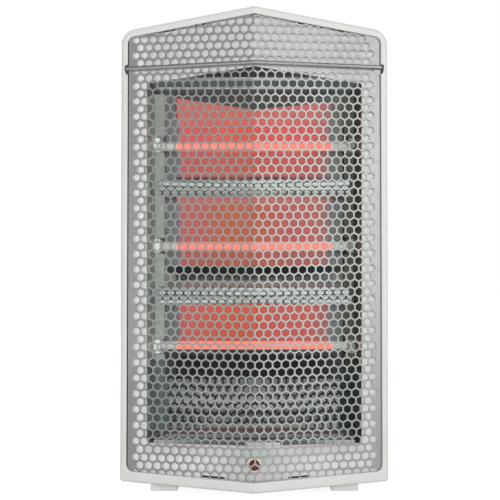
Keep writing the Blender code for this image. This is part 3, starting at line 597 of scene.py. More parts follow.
def reflector_material():
    """Polished trough sheet, tinted where it reflects the hot length, with painted glow (emission) standing in for the
    tube's reflection and painted shade and dark reflection in bands.
    """
    m = mirror_material("polished_aluminium", (0.80, 0.82, 0.81), 0.035)
    nt = m.node_tree
    b = nt.nodes["Principled BSDF"]
    col = b.inputs["Base Color"].links[0].from_socket
    z, ax = position_axis(nt, "Z"), math_node(nt, 'ABSOLUTE', position_axis(nt, "X"))
    xs = position_axis(nt, "X")
    hot = map_range(nt, ax, 0.0950, 0.0985, 1.0, 0.0)
    # base tinted rose towards the ends and orange round the middle of the hot length, colouring the reflected glow
    rosy = map_range(nt, math_node(nt, 'ADD', math_node(nt, 'ABSOLUTE', math_node(nt, 'ADD', xs, 0.020)),
                                   math_node(nt, 'MULTIPLY', noise(nt, 30), 0.03)), 0.025, 0.070, 0.0, 1.0)
    for lo, hi, rose, orange in ((TUBE_Z[0] * MM, 0.485, (0.71, 0.51, 0.62), (0.71, 0.50, 0.50)),
                                 (0.376, TUBE_Z[0] * MM, (0.55, 0.51, 0.62), (0.56, 0.50, 0.50)),
                                 (TUBE_Z[1] * MM, 0.3600, (0.53, 0.52, 0.62), (0.53, 0.51, 0.40)),
                                 (0.2705, TUBE_Z[1] * MM, (0.44, 0.51, 0.60), (0.46, 0.50, 0.45)),
                                 (0.166, 0.230, (0.58, 0.50, 0.58), (0.60, 0.49, 0.40))):
        col = mix_color(nt, math_node(nt, 'MULTIPLY', band(nt, z, lo, hi), hot), col, mix_color(nt, rosy, orange, rose))
    # Painted reflection: above a V-shaped line the top trough is painted dark grey-green, standing in for the reflected
    # dark roof.
    edge = math_node(nt, 'ADD', math_node(nt, 'MAXIMUM', math_node(nt, 'MULTIPLY', xs, -0.136), math_node(nt, 'MULTIPLY', xs, 0.092)), 0.4648)
    above = map_range(nt, math_node(nt, 'SUBTRACT', z, edge), -0.0008, 0.0008, 0.0, 1.0)
    col = mix_color(nt, above, col, (0.135, 0.172, 0.165))
    # Painted glow: emission on a strip below that line and a sliver under the first divider, standing in for the tube's
    # reflection, over a dark base.
    upper = math_node(nt, 'MULTIPLY', math_node(nt, 'SUBTRACT', 1.0, above), map_range(nt, z, 0.4500, 0.4545, 0.0, 1.0))
    sliver = band(nt, z, 0.3495, 0.3600, 0.0004)
    fade = map_range(nt, xs, 0.072, 0.0965, 1.0, 0.42)
    glow = math_node(nt, 'MULTIPLY', math_node(nt, 'MULTIPLY', math_node(nt, 'MAXIMUM', upper, sliver), hot), fade)
    col = mix_color(nt, math_node(nt, 'MAXIMUM', upper, sliver), col, (0.07, 0.06, 0.06))
    # Painted reflection: beyond the hot length the sheet turns a dull grey-green.
    ends = math_node(nt, 'MAXIMUM', map_range(nt, ax, 0.0978, 0.0990, 0.0, 1.0), map_range(nt, xs, 0.068, 0.0965, 0.0, 0.62))
    col = mix_color(nt, ends, col, (0.36, 0.45, 0.43))
    # painted shade and dark reflection: parts that face only the shaded inside of the casing
    step = band(nt, z, 0.226, 0.2525)
    col = mix_color(nt, band(nt, z, 0.2525, 0.2615), col, (0.52, 0.58, 0.55))
    col = mix_color(nt, step, col, (0.36, 0.41, 0.39))
    col = mix_color(nt, band(nt, z, 0.362, 0.3775), col, (0.10, 0.11, 0.11))
    dark = math_node(nt, 'MAXIMUM', band(nt, z, 0.2615, 0.2705), band(nt, z, 0.120, 0.1660))
    col = mix_color(nt, dark, col, (0.06, 0.07, 0.07))
    dull = math_node(nt, 'MAXIMUM', math_node(nt, 'MAXIMUM', ends, above), step)
    nt.links.new(map_range(nt, dull, 0.0, 1.0, 1.0, 0.15), b.inputs["Metallic"])
    nt.links.new(col, b.inputs["Base Color"])
    hot_col = mix_color(nt, rosy, (0.60, 0.140, 0.108), (0.56, 0.155, 0.142))
    hot_col = mix_color(nt, map_range(nt, z, 0.39, 0.41, 1.0, 0.0), hot_col, (0.42, 0.160, 0.155))
    nt.links.new(mix_color(nt, dark, hot_col, (0.90, 1.0, 0.98)), b.inputs["Emission Color"])
    # a faint painted glow in the darkest bands
    lift = math_node(nt, 'MULTIPLY', dark, map_range(nt, noise(nt, 80), 0.3, 0.7, 0.014, 0.024))
    warm = math_node(nt, 'MULTIPLY', glow, map_range(nt, noise(nt, 60, (1, 1, 1)), 0.3, 0.7, 0.90, 1.02))
    nt.links.new(math_node(nt, 'MAXIMUM', warm, lift), b.inputs["Emission Strength"])
    return m


MIRROR = reflector_material()
MIRROR_DIV = mirror_material("polished_aluminium_divider", (0.80, 0.88, 0.83), 0.05)


def apron_material():
    m = mirror_material("polished_aluminium_apron", (0.28, 0.315, 0.30), 0.035)
    nt = m.node_tree
    b = nt.nodes["Principled BSDF"]
    z = position_axis(nt, "Z")
    low = map_range(nt, z, 0.0712, 0.0716, 1.0, 0.0)
    col = b.inputs["Base Color"].links[0].from_socket
    # Painted shade: the mirror goes darker towards +X.
    col = mix_blend(nt, 'MULTIPLY', low, col, mix_color(nt, map_range(nt, position_axis(nt, "X"), 0.03, 0.10, 0.0, 1.0), (1.0, 1.0, 1.0), (0.62, 0.68, 0.68)))
    nt.links.new(mix_color(nt, low, col, mix_color(nt, map_range(nt, noise(nt, 40), 0.3, 0.7, 0, 1), (0.36, 0.325, 0.30), (0.41, 0.36, 0.33))), b.inputs["Base Color"])
    nt.links.new(map_range(nt, math_node(nt, 'ADD', low, math_node(nt, 'MULTIPLY', noise(nt, 200), 0.1)), 0.0, 1.1, 0.03, 0.55), b.inputs["Roughness"])
    nt.links.new(map_range(nt, low, 0.0, 1.0, 1.0, 0.10), b.inputs["Metallic"])
    front = math_node(nt, 'MULTIPLY', low, map_range(nt, position_axis(nt, "Y"), at_depth(47.0) * MM, at_depth(47.6) * MM, 1.0, 0.0))
    shaded = b.inputs["Base Color"].links[0].from_socket
    nt.links.new(mix_color(nt, front, shaded, (0.30, 0.345, 0.32)), b.inputs["Base Color"])
    return m


MIRROR_DULL = apron_material()


def glow_material(name, slot_col, glow, strength, alpha, rough):
    """Milky quartz that glows over the heated length, with the coil's turns showing faintly."""
    m, nt, b = nt_of(name)
    x = position_axis(nt, "X")
    ax = math_node(nt, 'ABSOLUTE', x)
    heat = map_range(nt, ax, 0.0935, 0.0985, 1.0, 0.0)
    turns = math_node(nt, 'SINE', math_node(nt, 'MULTIPLY', x, 2 * math.pi / 0.0032))
    band = map_range(nt, turns, -1.0, 1.0, 0.86, 1.0)
    cloud = map_range(nt, noise(nt, 30, (1, 1, 1)), 0.3, 0.7, 0.93, 1.05)
    s = math_node(nt, 'MULTIPLY', math_node(nt, 'MULTIPLY', heat, band), cloud)
    # the unheated ends keep a faint painted glow (strength 0.14) in a cool white
    s = math_node(nt, 'MAXIMUM', math_node(nt, 'MULTIPLY', s, strength), 0.14)
    body = mix_color(nt, map_range(nt, noise(nt, 120, (0.2, 1, 1)), 0.3, 0.7, 0.0, 1.0),
                     tuple(c * 0.92 for c in slot_col), slot_col)
    body = mix_color(nt, heat, body, (0.22, 0.16, 0.15))
    nt.links.new(body, b.inputs["Base Color"])
    r = map_range(nt, noise(nt, 400), 0.3, 0.7, rough - 0.04, rough + 0.06)
    nt.links.new(r, b.inputs["Roughness"])
    hot = mix_color(nt, map_range(nt, noise(nt, 18), 0.35, 0.65, 0.0, 1.0), glow, tuple(min(c * k, 1.0) for c, k in zip(glow, (1.0, 1.12, 1.18))))
    nt.links.new(mix_color(nt, heat, (0.88, 1.0, 0.94), hot), b.inputs["Emission Color"])
    nt.links.new(s, b.inputs["Emission Strength"])
    b.inputs["Alpha"].default_value = alpha
    b.inputs["Coat Weight"].default_value = 0.6
    b.inputs["Coat Roughness"].default_value = 0.06
    return m


QUARTZ = glow_material("quartz", (0.80, 0.82, 0.79), (1.0, 0.235, 0.170), 0.93, 0.86, 0.22)


def coil_material():
    m, nt, b = nt_of("hot_coil")
    x = math_node(nt, 'ABSOLUTE', position_axis(nt, "X"))
    heat = map_range(nt, x, 0.0945, 0.0975, 1.0, 0.03)
    nt.links.new(math_node(nt, 'MULTIPLY', heat, map_range(nt, noise(nt, 300), 0.3, 0.7, 1.7, 2.4)), b.inputs["Emission Strength"])
    nt.links.new(mix_color(nt, map_range(nt, noise(nt, 120), 0.3, 0.7, 0.0, 1.0), (1.0, 0.30, 0.12), (1.0, 0.40, 0.18)), b.inputs["Emission Color"])
    b.inputs["Base Color"].default_value = (0.25, 0.22, 0.2, 1)
    b.inputs["Metallic"].default_value = 1.0
    b.inputs["Roughness"].default_value = 0.5
    return m


COIL = coil_material()


def lens_material():
    m, nt, b = nt_of("lamp_red")
    nt.links.new(mix_color(nt, map_range(nt, noise(nt, 260), 0.3, 0.7, 0, 1), (0.10, 0.012, 0.010), (0.16, 0.020, 0.016)), b.inputs["Base Color"])
    b.inputs["Roughness"].default_value = 0.12
    b.inputs["Coat Weight"].default_value = 0.7
    b.inputs["Coat Roughness"].default_value = 0.05
    nt.links.new(mix_color(nt, map_range(nt, noise(nt, 200), 0.3, 0.7, 0, 1), (0.55, 0.06, 0.03), (0.7, 0.09, 0.05)), b.inputs["Emission Color"])
    b.inputs["Emission Strength"].default_value = 0.03
    return m


LENS = lens_material()

CAD_MATS = {
    "white_enamel": WHITE_ENAMEL, "white_plastic": WHITE_PLASTIC, "guard_enamel": GUARD, "panel_enamel": PANEL,
    "polished_aluminium": MIRROR, "zinc_steel": ZINC, "quartz": QUARTZ, "hot_coil": COIL, "ceramic": CERAMIC,
    "black_plastic": BLACK, "knob_plastic": KNOB, "bright_steel": STEEL, "foot_plastic": FOOT, "screw_steel": SCREW,
    "lamp_red": LENS, "lamp_cream": CREAM, "wire_sleeve": SLEEVE,
}
NODE_MATS = {"cavity_roof": ROOF, "heat_shield": SHIELD, "rear_baffle": BAFFLE, "tube_bracket_left": POST, "tube_bracket_right": POST,
             "cavity_side_left": CHEEK, "cavity_side_right": CHEEK, "pilot_lamp_bracket": TAB, "lower_lip": LIP}
for sp in frame["record"]["subparts"]:
    ob = frame["nodes"].get(sp["node"])
    if ob is not None:
        ob.data.materials.clear()
        ob.data.materials.append(NODE_MATS.get(sp["node"], CAD_MATS[sp["material_slot"]]))
        ob.data.set_sharp_from_angle(angle=math.radians(30))


# ------------------------------------------------------------------ front bezel
NOTCH = [(146.0, -3.4), (149.2, -8.0), (150.6, -8.6), (151.4, -7.6), (152.8, -2.6), (152.9, 1.6), (151.9, 3.0), (146.0, 3.5)]

NOTCH_Z = {-1: BAR_Z - 0.9, 1: BAR_Z - 0.3}


def make_shadow_gaps():
    """Painted shadow: a black strip behind the rim that darkens the gap round the guard, dark plugs in the notches the
    bar's ends rest in, and black plates behind the panel's lower slots.
    """
    f = lambda d: (lambda x: front_y(x) + d)
    a, b_ = outline(6.6, 6.6, 10.6, 9.0, 9.0), outline(9.2, 8.0, 11.9, 8.0, 8.0)
    ring_loft("shadow_gap_strip", [loop3(a, f(4.6)), loop3(b_, f(4.6)), loop3(b_, f(5.4)), loop3(a, f(5.4))], mat=SHADOW_GAP_BLACK, slot="black_plastic")
    bm = bmesh.new()
    for s in (-1, 1):
        y = front_y(150.0)
        prism_bm([(s * (x + (0.6 if x > 150 else 0.0)), NOTCH_Z[s] + dz * 1.06) for x, dz in NOTCH][::s], 'Y', y + 3.15, y + 3.55 - 0.3, bm)
    finish_mesh("notch_shadow_plugs", bm, mat=NOTCH_SHADOW, slot="black_plastic")
    bm = bmesh.new()
    for x0, x1 in ((-63.5, -32.0), (37.5, 68.0)):
        za, zb = [BOT_PEAK_Z + 0.0561 * abs(x) + RIM_BOT for x in (x0, x1)]
        ya, yb = front_y(x0) + 11.0, front_y(x1) + 11.0
        lo = [bm.verts.new(Vector(p) * MM) for p in ((x0, ya, za - 2.5), (x1, yb, zb - 2.5), (x1, yb, zb + 4.5), (x0, ya, za + 4.5))]
        hi = [bm.verts.new(v.co + Vector((0, 0.8, 0)) * MM) for v in lo]
        bridge(bm, lo, hi)
        bm.faces.new(lo)
        bm.faces.new(hi)
    finish_mesh("slot_shadow_plates", bm, mat=SHADOW_GAP_BLACK, slot="black_plastic")


def make_bezel():
    loops = []
    R = 3.0
    for k in range(9):
        a = math.radians(90 * k / 8)
        ins, dy = R * (1 - math.sin(a)), R * (1 - math.cos(a))
        loops.append(loop3(outline(ins, ins, ins, R_TOP - ins, max(R_BOT - ins, 1.2)), lambda x, dy=dy: front_y(x) + dy))
    for ins, yy in ((0.0, BEZEL_BACK_Y - 0.8), (0.25, BEZEL_BACK_Y - 0.25), (0.8, BEZEL_BACK_Y), (2.3, BEZEL_BACK_Y)):
        loops.append(loop3(outline(ins, ins, ins, R_TOP - ins, 2.5), lambda x, yy=yy: yy))
    loops.append(loop3(outline(2.5, 2.5, 2.5, R_TOP - 2.5, 2.2), lambda x: BEZEL_BACK_Y - 0.2))
    loops.append(loop3(outline(2.5, 2.5, 2.5, R_TOP - 2.5, 2.2), lambda x: front_y(x) + 3.0))
    def inner(e, dy):
        return loop3(outline(RIM_SIDE - e, RIM_TOP - e, RIM_BOT - e, 8.0 + e, 8.0 + e), lambda x: front_y(x) + dy)
    loops.append(inner(0.0, 3.0))
    loops.append(inner(0.0, 1.0))
    loops.append(inner(0.1, 0.62))
    loops.append(inner(0.38, 0.28))
    loops.append(inner(0.75, 0.06))
    loops.append(inner(1.1, 0.0))
    ob = ring_loft("bezel_shell", loops, mat=WHITE_PLASTIC, smooth=15.0, slot="white_plastic", replaces=("front_bezel",))
    bm = bmesh.new()
    for s in (-1, 1):
        prism_bm([(s * x, NOTCH_Z[s] + dz) for x, dz in NOTCH][::s], 'Y', -78.0, -52.0, bm)
    carve(ob, bm, 15.0)
    return ob


# ------------------------------------------------------------------ perforated guard
def clip_poly(poly, a, b, c):
    """Keep the side a*u + b*z <= c of a convex polygon."""
    out = []
    n = len(poly)
    for i in range(n):
        p, q = poly[i], poly[(i + 1) % n]
        fp, fq = a * p[0] + b * p[1] - c, a * q[0] + b * q[1] - c
        if fp <= 0:
            out.append(p)
        if (fp < 0 < fq) or (fq < 0 < fp):
            t = fp / (fp - fq)
            out.append((p[0] + (q[0] - p[0]) * t, p[1] + (q[1] - p[1]) * t))
    return out


# slow drift of the punched rows over the sheet, as a smooth polynomial: (1, X, |X|, T, TT, TTT, XT, |X|T, |X|TT, XTT)
DRIFT_X = [0.0169, 0.4773, 0.5083, -1.2822, 0.2251, 0.3024, -0.9345, 0.2139, -0.3227, -0.5273]
DRIFT_Z = [2.0396, 0.3927, 1.6292, 0.5109, -1.2756, -1.1197, 0.1163, 0.3129, -0.5192, 0.1852]


def drift(u, z):
    ca = math.cos(ANG)
    D = 1260.0 + abs(u) * math.sin(ANG) + GUARD_OFF
    X = u * ca * 1088.7 / D / 100.0
    T = (14.0 + (273.0 - z) * 1088.7 / D) / 200.0
    T = max(-1.12, min(1.12, T))
    terms = (1.0, X, abs(X), T, T * T, T ** 3, X * T, abs(X) * T, abs(X) * T * T, X * T * T)
    dx = sum(a * b for a, b in zip(DRIFT_X, terms))
    dy = sum(a * b for a, b in zip(DRIFT_Z, terms))
    return -dx * D / 1088.7 / ca, dy * D / 1088.7


def make_guard():
    ca = math.cos(ANG)
    edge = [(x / ca + 0.50, z) for x, z in outline(8.25, 3.2, 3.2, 12.0, 10.0, nt=12, nb=8)]
    R = HOLE_AF / math.sqrt(3)
    m = 3.2 + 0.9
    st = TOP_SLOPE * ca
    ht = TOP_PEAK_Z - m
    sb = (BOT_CORNER_Z - BOT_PEAK_Z) / (HALF_W_BOT / ca)
    hb = BOT_PEAK_Z + m
    planes = [(st, 1, ht), (-st, 1, ht), (sb, -1, -hb), (-sb, -1, -hb)]
    holes = []
    n0 = int((hb - ROW_Z0) // ROW) - 1
    n1 = int((ht - ROW_Z0) // ROW) + 2
    for n in range(n0, n1 + 1):
        zc = ROW_Z0 + n * ROW
        odd = n % 2 != 0
        cols = [k + 0.5 for k in range(-14, 14)] if odd else list(range(-13, 14))
        for k in cols:
            uc = k * PITCH
            poly = [(uc + R * math.cos(math.radians(90 + 60 * i)), zc + R * math.sin(math.radians(90 + 60 * i))) for i in range(6)]
            poly = [(p[0] + drift(*p)[0], p[1] + drift(*p)[1]) for p in poly]
            for pl in planes:
                poly = clip_poly(poly, *pl)
                if len(poly) < 3:
                    break
            if len(poly) < 3:
                continue
            area = 0.5 * abs(sum(poly[i][0] * poly[(i + 1) % len(poly)][1] - poly[(i + 1) % len(poly)][0] * poly[i][1] for i in range(len(poly))))
            if area < 8.0:
                continue
            # drop repeated points
            q = []
            for p in poly:
                if not q or (abs(p[0] - q[-1][0]) + abs(p[1] - q[-1][1])) > 1e-3:
                    q.append(p)
            if abs(q[0][0] - q[-1][0]) + abs(q[0][1] - q[-1][1]) < 1e-3:
                q.pop()
            # keep clear of the rounded upper corners
            if max(abs(p[0]) for p in q) > 139.0 and max(p[1] for p in q) > TOP_PEAK_Z - TOP_SLOPE * 142 - 7.0:
                continue
            holes.append((uc, zc, q))
    verts, edges, grow = [], [], {}
    def add(p):
        verts.append(Vector((p[0], p[1])))
        return len(verts) - 1
    ids = [add(p) for p in edge]
    edges += [(ids[i], ids[(i + 1) % len(ids)]) for i in range(len(ids))]
    # the fold line
    half = len(edge) // 2
    fold_lo, fold_hi = add((0.0, edge[0][1] + 0.3)), add((0.0, edge[half][1] - 0.3))
    edges.append((fold_lo, fold_hi))
    for uc, zc, q in holes:
        hid = [add(p) for p in q]
        edges += [(hid[i], hid[(i + 1) % len(hid)]) for i in range(len(hid))]
        cx = sum(p[0] for p in q) / len(q)
        cz = sum(p[1] for p in q) / len(q)
        for i, p in zip(hid, q):
            d = Vector((p[0] - cx, p[1] - cz))
            grow[i] = d.normalized() * 0.16
    V, E, F, ov, oe, of = delaunay_2d_cdt(verts, edges, [], 1, 1e-5)
    V = [Vector(v) for v in V]
    g = [Vector((0, 0))] * len(V)
    for i, src in enumerate(ov):
        for s in src:
            if s in grow:
                g[i] = grow[s]
    cell = {}
    for uc, zc, q in holes:
        cell[(round(uc / PITCH * 2), round((zc - ROW_Z0) / ROW))] = q
    def in_hole(p):
        du, dz = drift(p.x, p.y)
        r = (p.y - dz - ROW_Z0) / ROW
        for rr in range(math.floor(r) - 1, math.floor(r) + 3):
            c = (p.x - du) / PITCH * 2
            for cc in range(int(math.floor(c)) - 2, int(math.floor(c)) + 4):
                q = cell.get((cc, rr))
                if q is None:
                    continue
                inside = True
                for i in range(len(q)):
                    a, b = q[i], q[(i + 1) % len(q)]
                    if (b[0] - a[0]) * (p.y - a[1]) - (b[1] - a[1]) * (p.x - a[0]) < -1e-6:
                        inside = False
                        break
                if inside:
                    return True
        return False
    tris = []
    for f in F:
        c = (V[f[0]] + V[f[1]] + V[f[2]]) / 3
        if not in_hole(c):
            a, b, d = V[f[0]], V[f[1]], V[f[2]]
            if (b - a).cross(d - a) < 0:
                f = (f[0], f[2], f[1])
            tris.append(tuple(f))
    used = sorted({i for t in tris for i in t})
    remap = {o: n for n, o in enumerate(used)}
    nv = len(used)
    def pos(p, off):
        x = p.x * ca
        return (x * MM, (front_y(x) + off) * MM, p.y * MM)
    co = [pos(V[i] + g[i], GUARD_OFF) for i in used]
    co += [pos(V[i], GUARD_OFF + 0.16) for i in used]
    co += [pos(V[i], GUARD_OFF + GUARD_T) for i in used]
    count = {}
    for t in tris:
        for i in range(3):
            e = (t[i], t[(i + 1) % 3])
            count[e] = count.get(e, 0) + 1
    faces = []
    for t in tris:
        a, b, c = (remap[i] for i in t)
        faces.append((a, b, c))
        faces.append((2 * nv + c, 2 * nv + b, 2 * nv + a))
    for (a, b) in count:
        if (b, a) not in count:
            ra, rb = remap[a], remap[b]
            faces.append((rb, ra, nv + ra, nv + rb))
            faces.append((nv + rb, nv + ra, 2 * nv + ra, 2 * nv + rb))
    me = bpy.data.meshes.new("guard_mesh")
    me.from_pydata(co, [], faces)
    me.update()
    ob = bpy.data.objects.new("guard_mesh", me)
    bpy.context.scene.collection.objects.link(ob)
    bm = bmesh.new()
    bm.from_mesh(me)
    bmesh.ops.recalc_face_normals(bm, faces=bm.faces)
    # back faces (normal +Y) take the painted-shade material
    for f in bm.faces:
        f.material_index = 1 if f.normal.y > 0.9 else 0
    bm.to_mesh(me)
    bm.free()
    me.materials.append(GUARD)
    me.materials.append(GUARD_BACK_SHADE)
    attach(ob, HOUSING)
    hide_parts("grille")
    print("guard holes", len(holes), "faces", len(me.polygons))
    return ob


BAR_MID_Z, BAR_FALL_L, BAR_FALL_R = BAR_Z + 0.7, 3.1, 1.5


def bar_shade(nt, col):
    """Painted shade: darker along the top and bottom of the rod, and a duller grey towards +X that tones down its
    highlight.
    """
    x, z = position_axis(nt, "X"), position_axis(nt, "Z")
    slope = math_node(nt, 'MINIMUM', math_node(nt, 'MULTIPLY', x, BAR_FALL_L / 151.6), math_node(nt, 'MULTIPLY', x, -BAR_FALL_R / 151.6))
    zc = math_node(nt, 'ADD', slope, BAR_MID_Z * MM)
    d = math_node(nt, 'SUBTRACT', z, zc)
    k = math_node(nt, 'MAXIMUM', map_range(nt, d, 0.0009, 0.0016, 0.0, 0.72), map_range(nt, d, -0.0013, -0.0019, 0.0, 0.40))
    return mix_color(nt, k, mix_color(nt, map_range(nt, x, 0.03, 0.13, 0.0, 1.0), col, (0.48, 0.48, 0.47)), (0.10, 0.10, 0.10))


BAR = surface("guard_rod", (0.70, 0.70, 0.69), 0.30, metal=0.80, var=0.05, var_scale=160, rough_var=0.06,
              bump=0.08, bump_scale=1500, bump_dist=0.00005, extra=bar_shade)


def make_bar():
    """Guard bar: round rod with an easy bend at the prow and hemispherical ends in the rim's notches."""
    off = GUARD_OFF - BAR_R - 0.3
    xs = [-151.6, -151.2, -150.2, -148.9, -100, -50, -6, -4, -2, 0, 2, 4, 6, 50, 100, 148.9, 150.2, 151.2, 151.6]
    n = 24
    loops = []
    for x in xs:
        ax = abs(x)
        y = PROW_Y + math.sqrt(ax * ax + 12.0) * PROW_TAN + off - 0.25
        z = BAR_MID_Z - (BAR_FALL_L if x < 0 else BAR_FALL_R) * ax / 151.6
        r = BAR_R
        if ax > 148.8:
            t = (ax - 148.9) / (151.6 - 148.9)
            r = BAR_R * math.sqrt(max(1 - t * t, 0.02))
        loops.append([(x, y - r * math.cos(2 * math.pi * k / n), z + r * math.sin(2 * math.pi * k / n)) for k in range(n)])
    return stack_loft("guard_rod", loops, mat=BAR, smooth=40.0, slot="guard_enamel", replaces=("grille_bar",))


# ------------------------------------------------------------------ front panel
def make_panel():
    f = lambda d: (lambda x: front_y(x) + PANEL_OFF + d)
    o = outline(3.4, 3.4, 3.4, R_TOP - 3.4, 2.0)
    loops = [loop3(o, f(0.0)), loop3(cavity_outline(0.9), f(0.0)), loop3(cavity_outline(0.45), f(0.12)),
             loop3(cavity_outline(0.12), f(0.45)), loop3(cavity_outline(0.0), f(0.9)), loop3(cavity_outline(0.0), f(2.0)),
             loop3(cavity_outline(0.6), f(2.0)), loop3(cavity_outline(0.75), f(0.9)), loop3(o, f(0.8))]
    ob = ring_loft("panel_sheet", loops, mat=PANEL, smooth=15.0, slot="panel_enamel", replaces=("front_panel",))
    bm = turned_bm([(0, -30), (6.6, -30), (6.6, 30), (0, 30)], (0, PROW_Y + 10, 39.6), (0, 1, 0), 32)
    def slot(x0, x1, zfun, t):
        prism_bm([(x0, zfun(x0)), (x1, zfun(x1)), (x1, zfun(x1) + t), (x0, zfun(x0) + t)], 'Y', -95.0, -60.0, bm)
    rim_lo = lambda x: BOT_PEAK_Z + (BOT_CORNER_Z - BOT_PEAK_Z) / HALF_W_BOT * abs(x) + RIM_BOT
    rim_hi = lambda x: TOP_PEAK_Z - TOP_SLOPE * abs(x) - RIM_TOP
    slot(-61.0, -34.5, lambda x: rim_lo(x) - 0.2, 2.2)
    slot(40.0, 65.5, lambda x: rim_lo(x) - 0.2, 2.2)
    for x0, x1 in ((-112.0, -93.0), (-84.0, -57.0), (51.0, 80.0), (91.0, 107.0)):
        slot(x0, x1, lambda x: rim_hi(x) - 0.3, 3.4)
    carve(ob, bm, 15.0)
    return ob


# ------------------------------------------------------------------ heating cavity
def trough_points(zc, up, down, n):
    def depth(h):
        v = 34.5 - (h + 2.5) ** 2 / 142.0
        if h < -24.0:
            k = 34.5 - 21.5 ** 2 / 142.0
            v = k + 0.8 * (v - k)
        return 84.0 + v
    return [(depth(up + (-down - up) * i / n), zc + up + (-down - up) * i / n) for i in range(n + 1)]


def make_cavity():
    line = []
    for k, zc in enumerate(TUBE_Z):
        line += trough_points(zc, 65.5 if k == 0 else 57.0, 47.0, 46)
    f, g = offset_line([(at_depth(d), z) for d, z in line], 0.55)
    strip("reflector_sheet", f, g, 'X', -111.6, 111.6, mat=MIRROR, smooth=25.0, slot="polished_aluminium", replaces=("reflector",))
    for i, (z0, z1) in enumerate(((355.5, 375.0), (224.5, 246.0))):
        y0 = at_depth(57.5)
        ln = fillet_line([(y0 + 4.2, z0), (y0, z0), (y0, z1), (y0 + 4.2, z1)], 1.3, 5)
        f, g = offset_line(ln, -0.7)
        strip("divider_sheet_%d" % (i + 1), f, g, 'X', -114.5, 114.5, mat=MIRROR_DIV, smooth=25.0, slot="polished_aluminium",
              replaces=("divider_%d" % (i + 1),))
    ln = fillet_line([(at_depth(46.0), 65.5), (at_depth(46.0), 70.0), (at_depth(92.0), 70.0), (at_depth(92.0), 131.0)], 1.2, 5)
    f, g = offset_line(ln, -0.7)
    strip("apron_sheet", f, g, 'X', -106.0, 106.0, mat=MIRROR_DULL, smooth=25.0, slot="polished_aluminium", replaces=("lower_apron",))


def make_tubes():
    for k, z in enumerate(TUBE_Z, 1):
        prof = [(TUBE_R - 0.9, -119.5), (TUBE_R - 0.45, -120.0), (TUBE_R, -119.5)]
        xs = np.linspace(-116, 116, 30)
        prof += [(TUBE_R, float(x)) for x in xs]
        prof += [(TUBE_R, 119.5), (TUBE_R - 0.45, 120.0), (TUBE_R - 0.9, 119.5)]
        turned("quartz_sleeve_%d" % k, prof, (0, TUBE_Y, z), (1, 0, 0), n=40, mat=QUARTZ, smooth=40.0, slot="quartz",
               replaces=("quartz_tube_%d" % k,))
        # resistance wire: close-wound helix
        pitch, rad, wire, seg, sides = 3.2, 2.9, 0.42, 14, 6
        turns = 2 * HEATED / pitch
        total = int(turns * seg)
        loops = []
        for i in range(total + 1):
            a = 2 * math.pi * i / seg
            x = -HEATED + 2 * HEATED * i / total
            ring = []
            for s in range(sides):
                b = 2 * math.pi * s / sides
                r = rad + wire * math.cos(b)
                ring.append((x + wire * math.sin(b), TUBE_Y + r * math.cos(a), z + r * math.sin(a)))
            loops.append(ring)
        stack_loft("resistance_coil_%d" % k, loops, mat=COIL, smooth=60.0, slot="hot_coil", replaces=("heating_coil_%d" % k,))
        for s, side in ((-1, "left"), (1, "right")):
            cap = [(5.6, 113.0), (7.4, 113.0), (7.8, 113.4), (7.8, 116.2), (7.2, 116.8), (7.2, 118.6), (8.0, 119.2), (8.0, 128.0),
                   (7.4, 128.8), (2.0, 129.0), (0, 129.0), (0, 120.8), (5.2, 120.8), (5.6, 120.4)]
            turned("ceramic_cap_%d_%s" % (k, side), cap, (0, TUBE_Y, z), (s, 0, 0), n=40, mat=CERAMIC, smooth=30.0, slot="ceramic",
                   replaces=("tube_cap_%d_%s" % (k, side),))
            # pressed clip over the bracket's window: raised saddle, two lugs
            clip = turned_bm([(7.35, 116.9), (7.75, 116.9), (7.75, 118.5), (7.35, 118.5)], (0, TUBE_Y, z), (s, 0, 0), 36)
            yf = at_depth(61.8)
            def plate(prof, y0, y1, e=0.35):
                cx = sum(p[0] for p in prof) / len(prof)
                cz = sum(p[1] for p in prof) / len(prof)
                sh = lambda k_: [(cx + (p[0] - cx) * k_, cz + (p[1] - cz) * k_) for p in prof]
                ls = add_loops(clip, [[(q[0], y1, q[1]) for q in sh(1)], [(q[0], y0 + e, q[1]) for q in sh(1)], [(q[0], y0, q[1]) for q in sh(0.90)]])
                bridge(clip, ls[0], ls[1])
                bridge(clip, ls[1], ls[2])
                clip.faces.new(ls[0])
                clip.faces.new(ls[2])
            plate(rounded_rect(s * 118.4, z, 3.9, 3.6, 1.4, 4), yf - 2.6, yf - 0.05)
            plate(rounded_rect(s * 117.2, z + 6.3, 3.4, 1.9, 0.8, 4), yf - 1.1, yf - 0.05)
            plate(rounded_rect(s * 117.2, z - 6.3, 3.4, 1.9, 0.8, 4), yf - 1.1, yf - 0.05)
            finish_mesh("spring_clip_%d_%s" % (k, side), clip, mat=CLIP, slot="bright_steel")


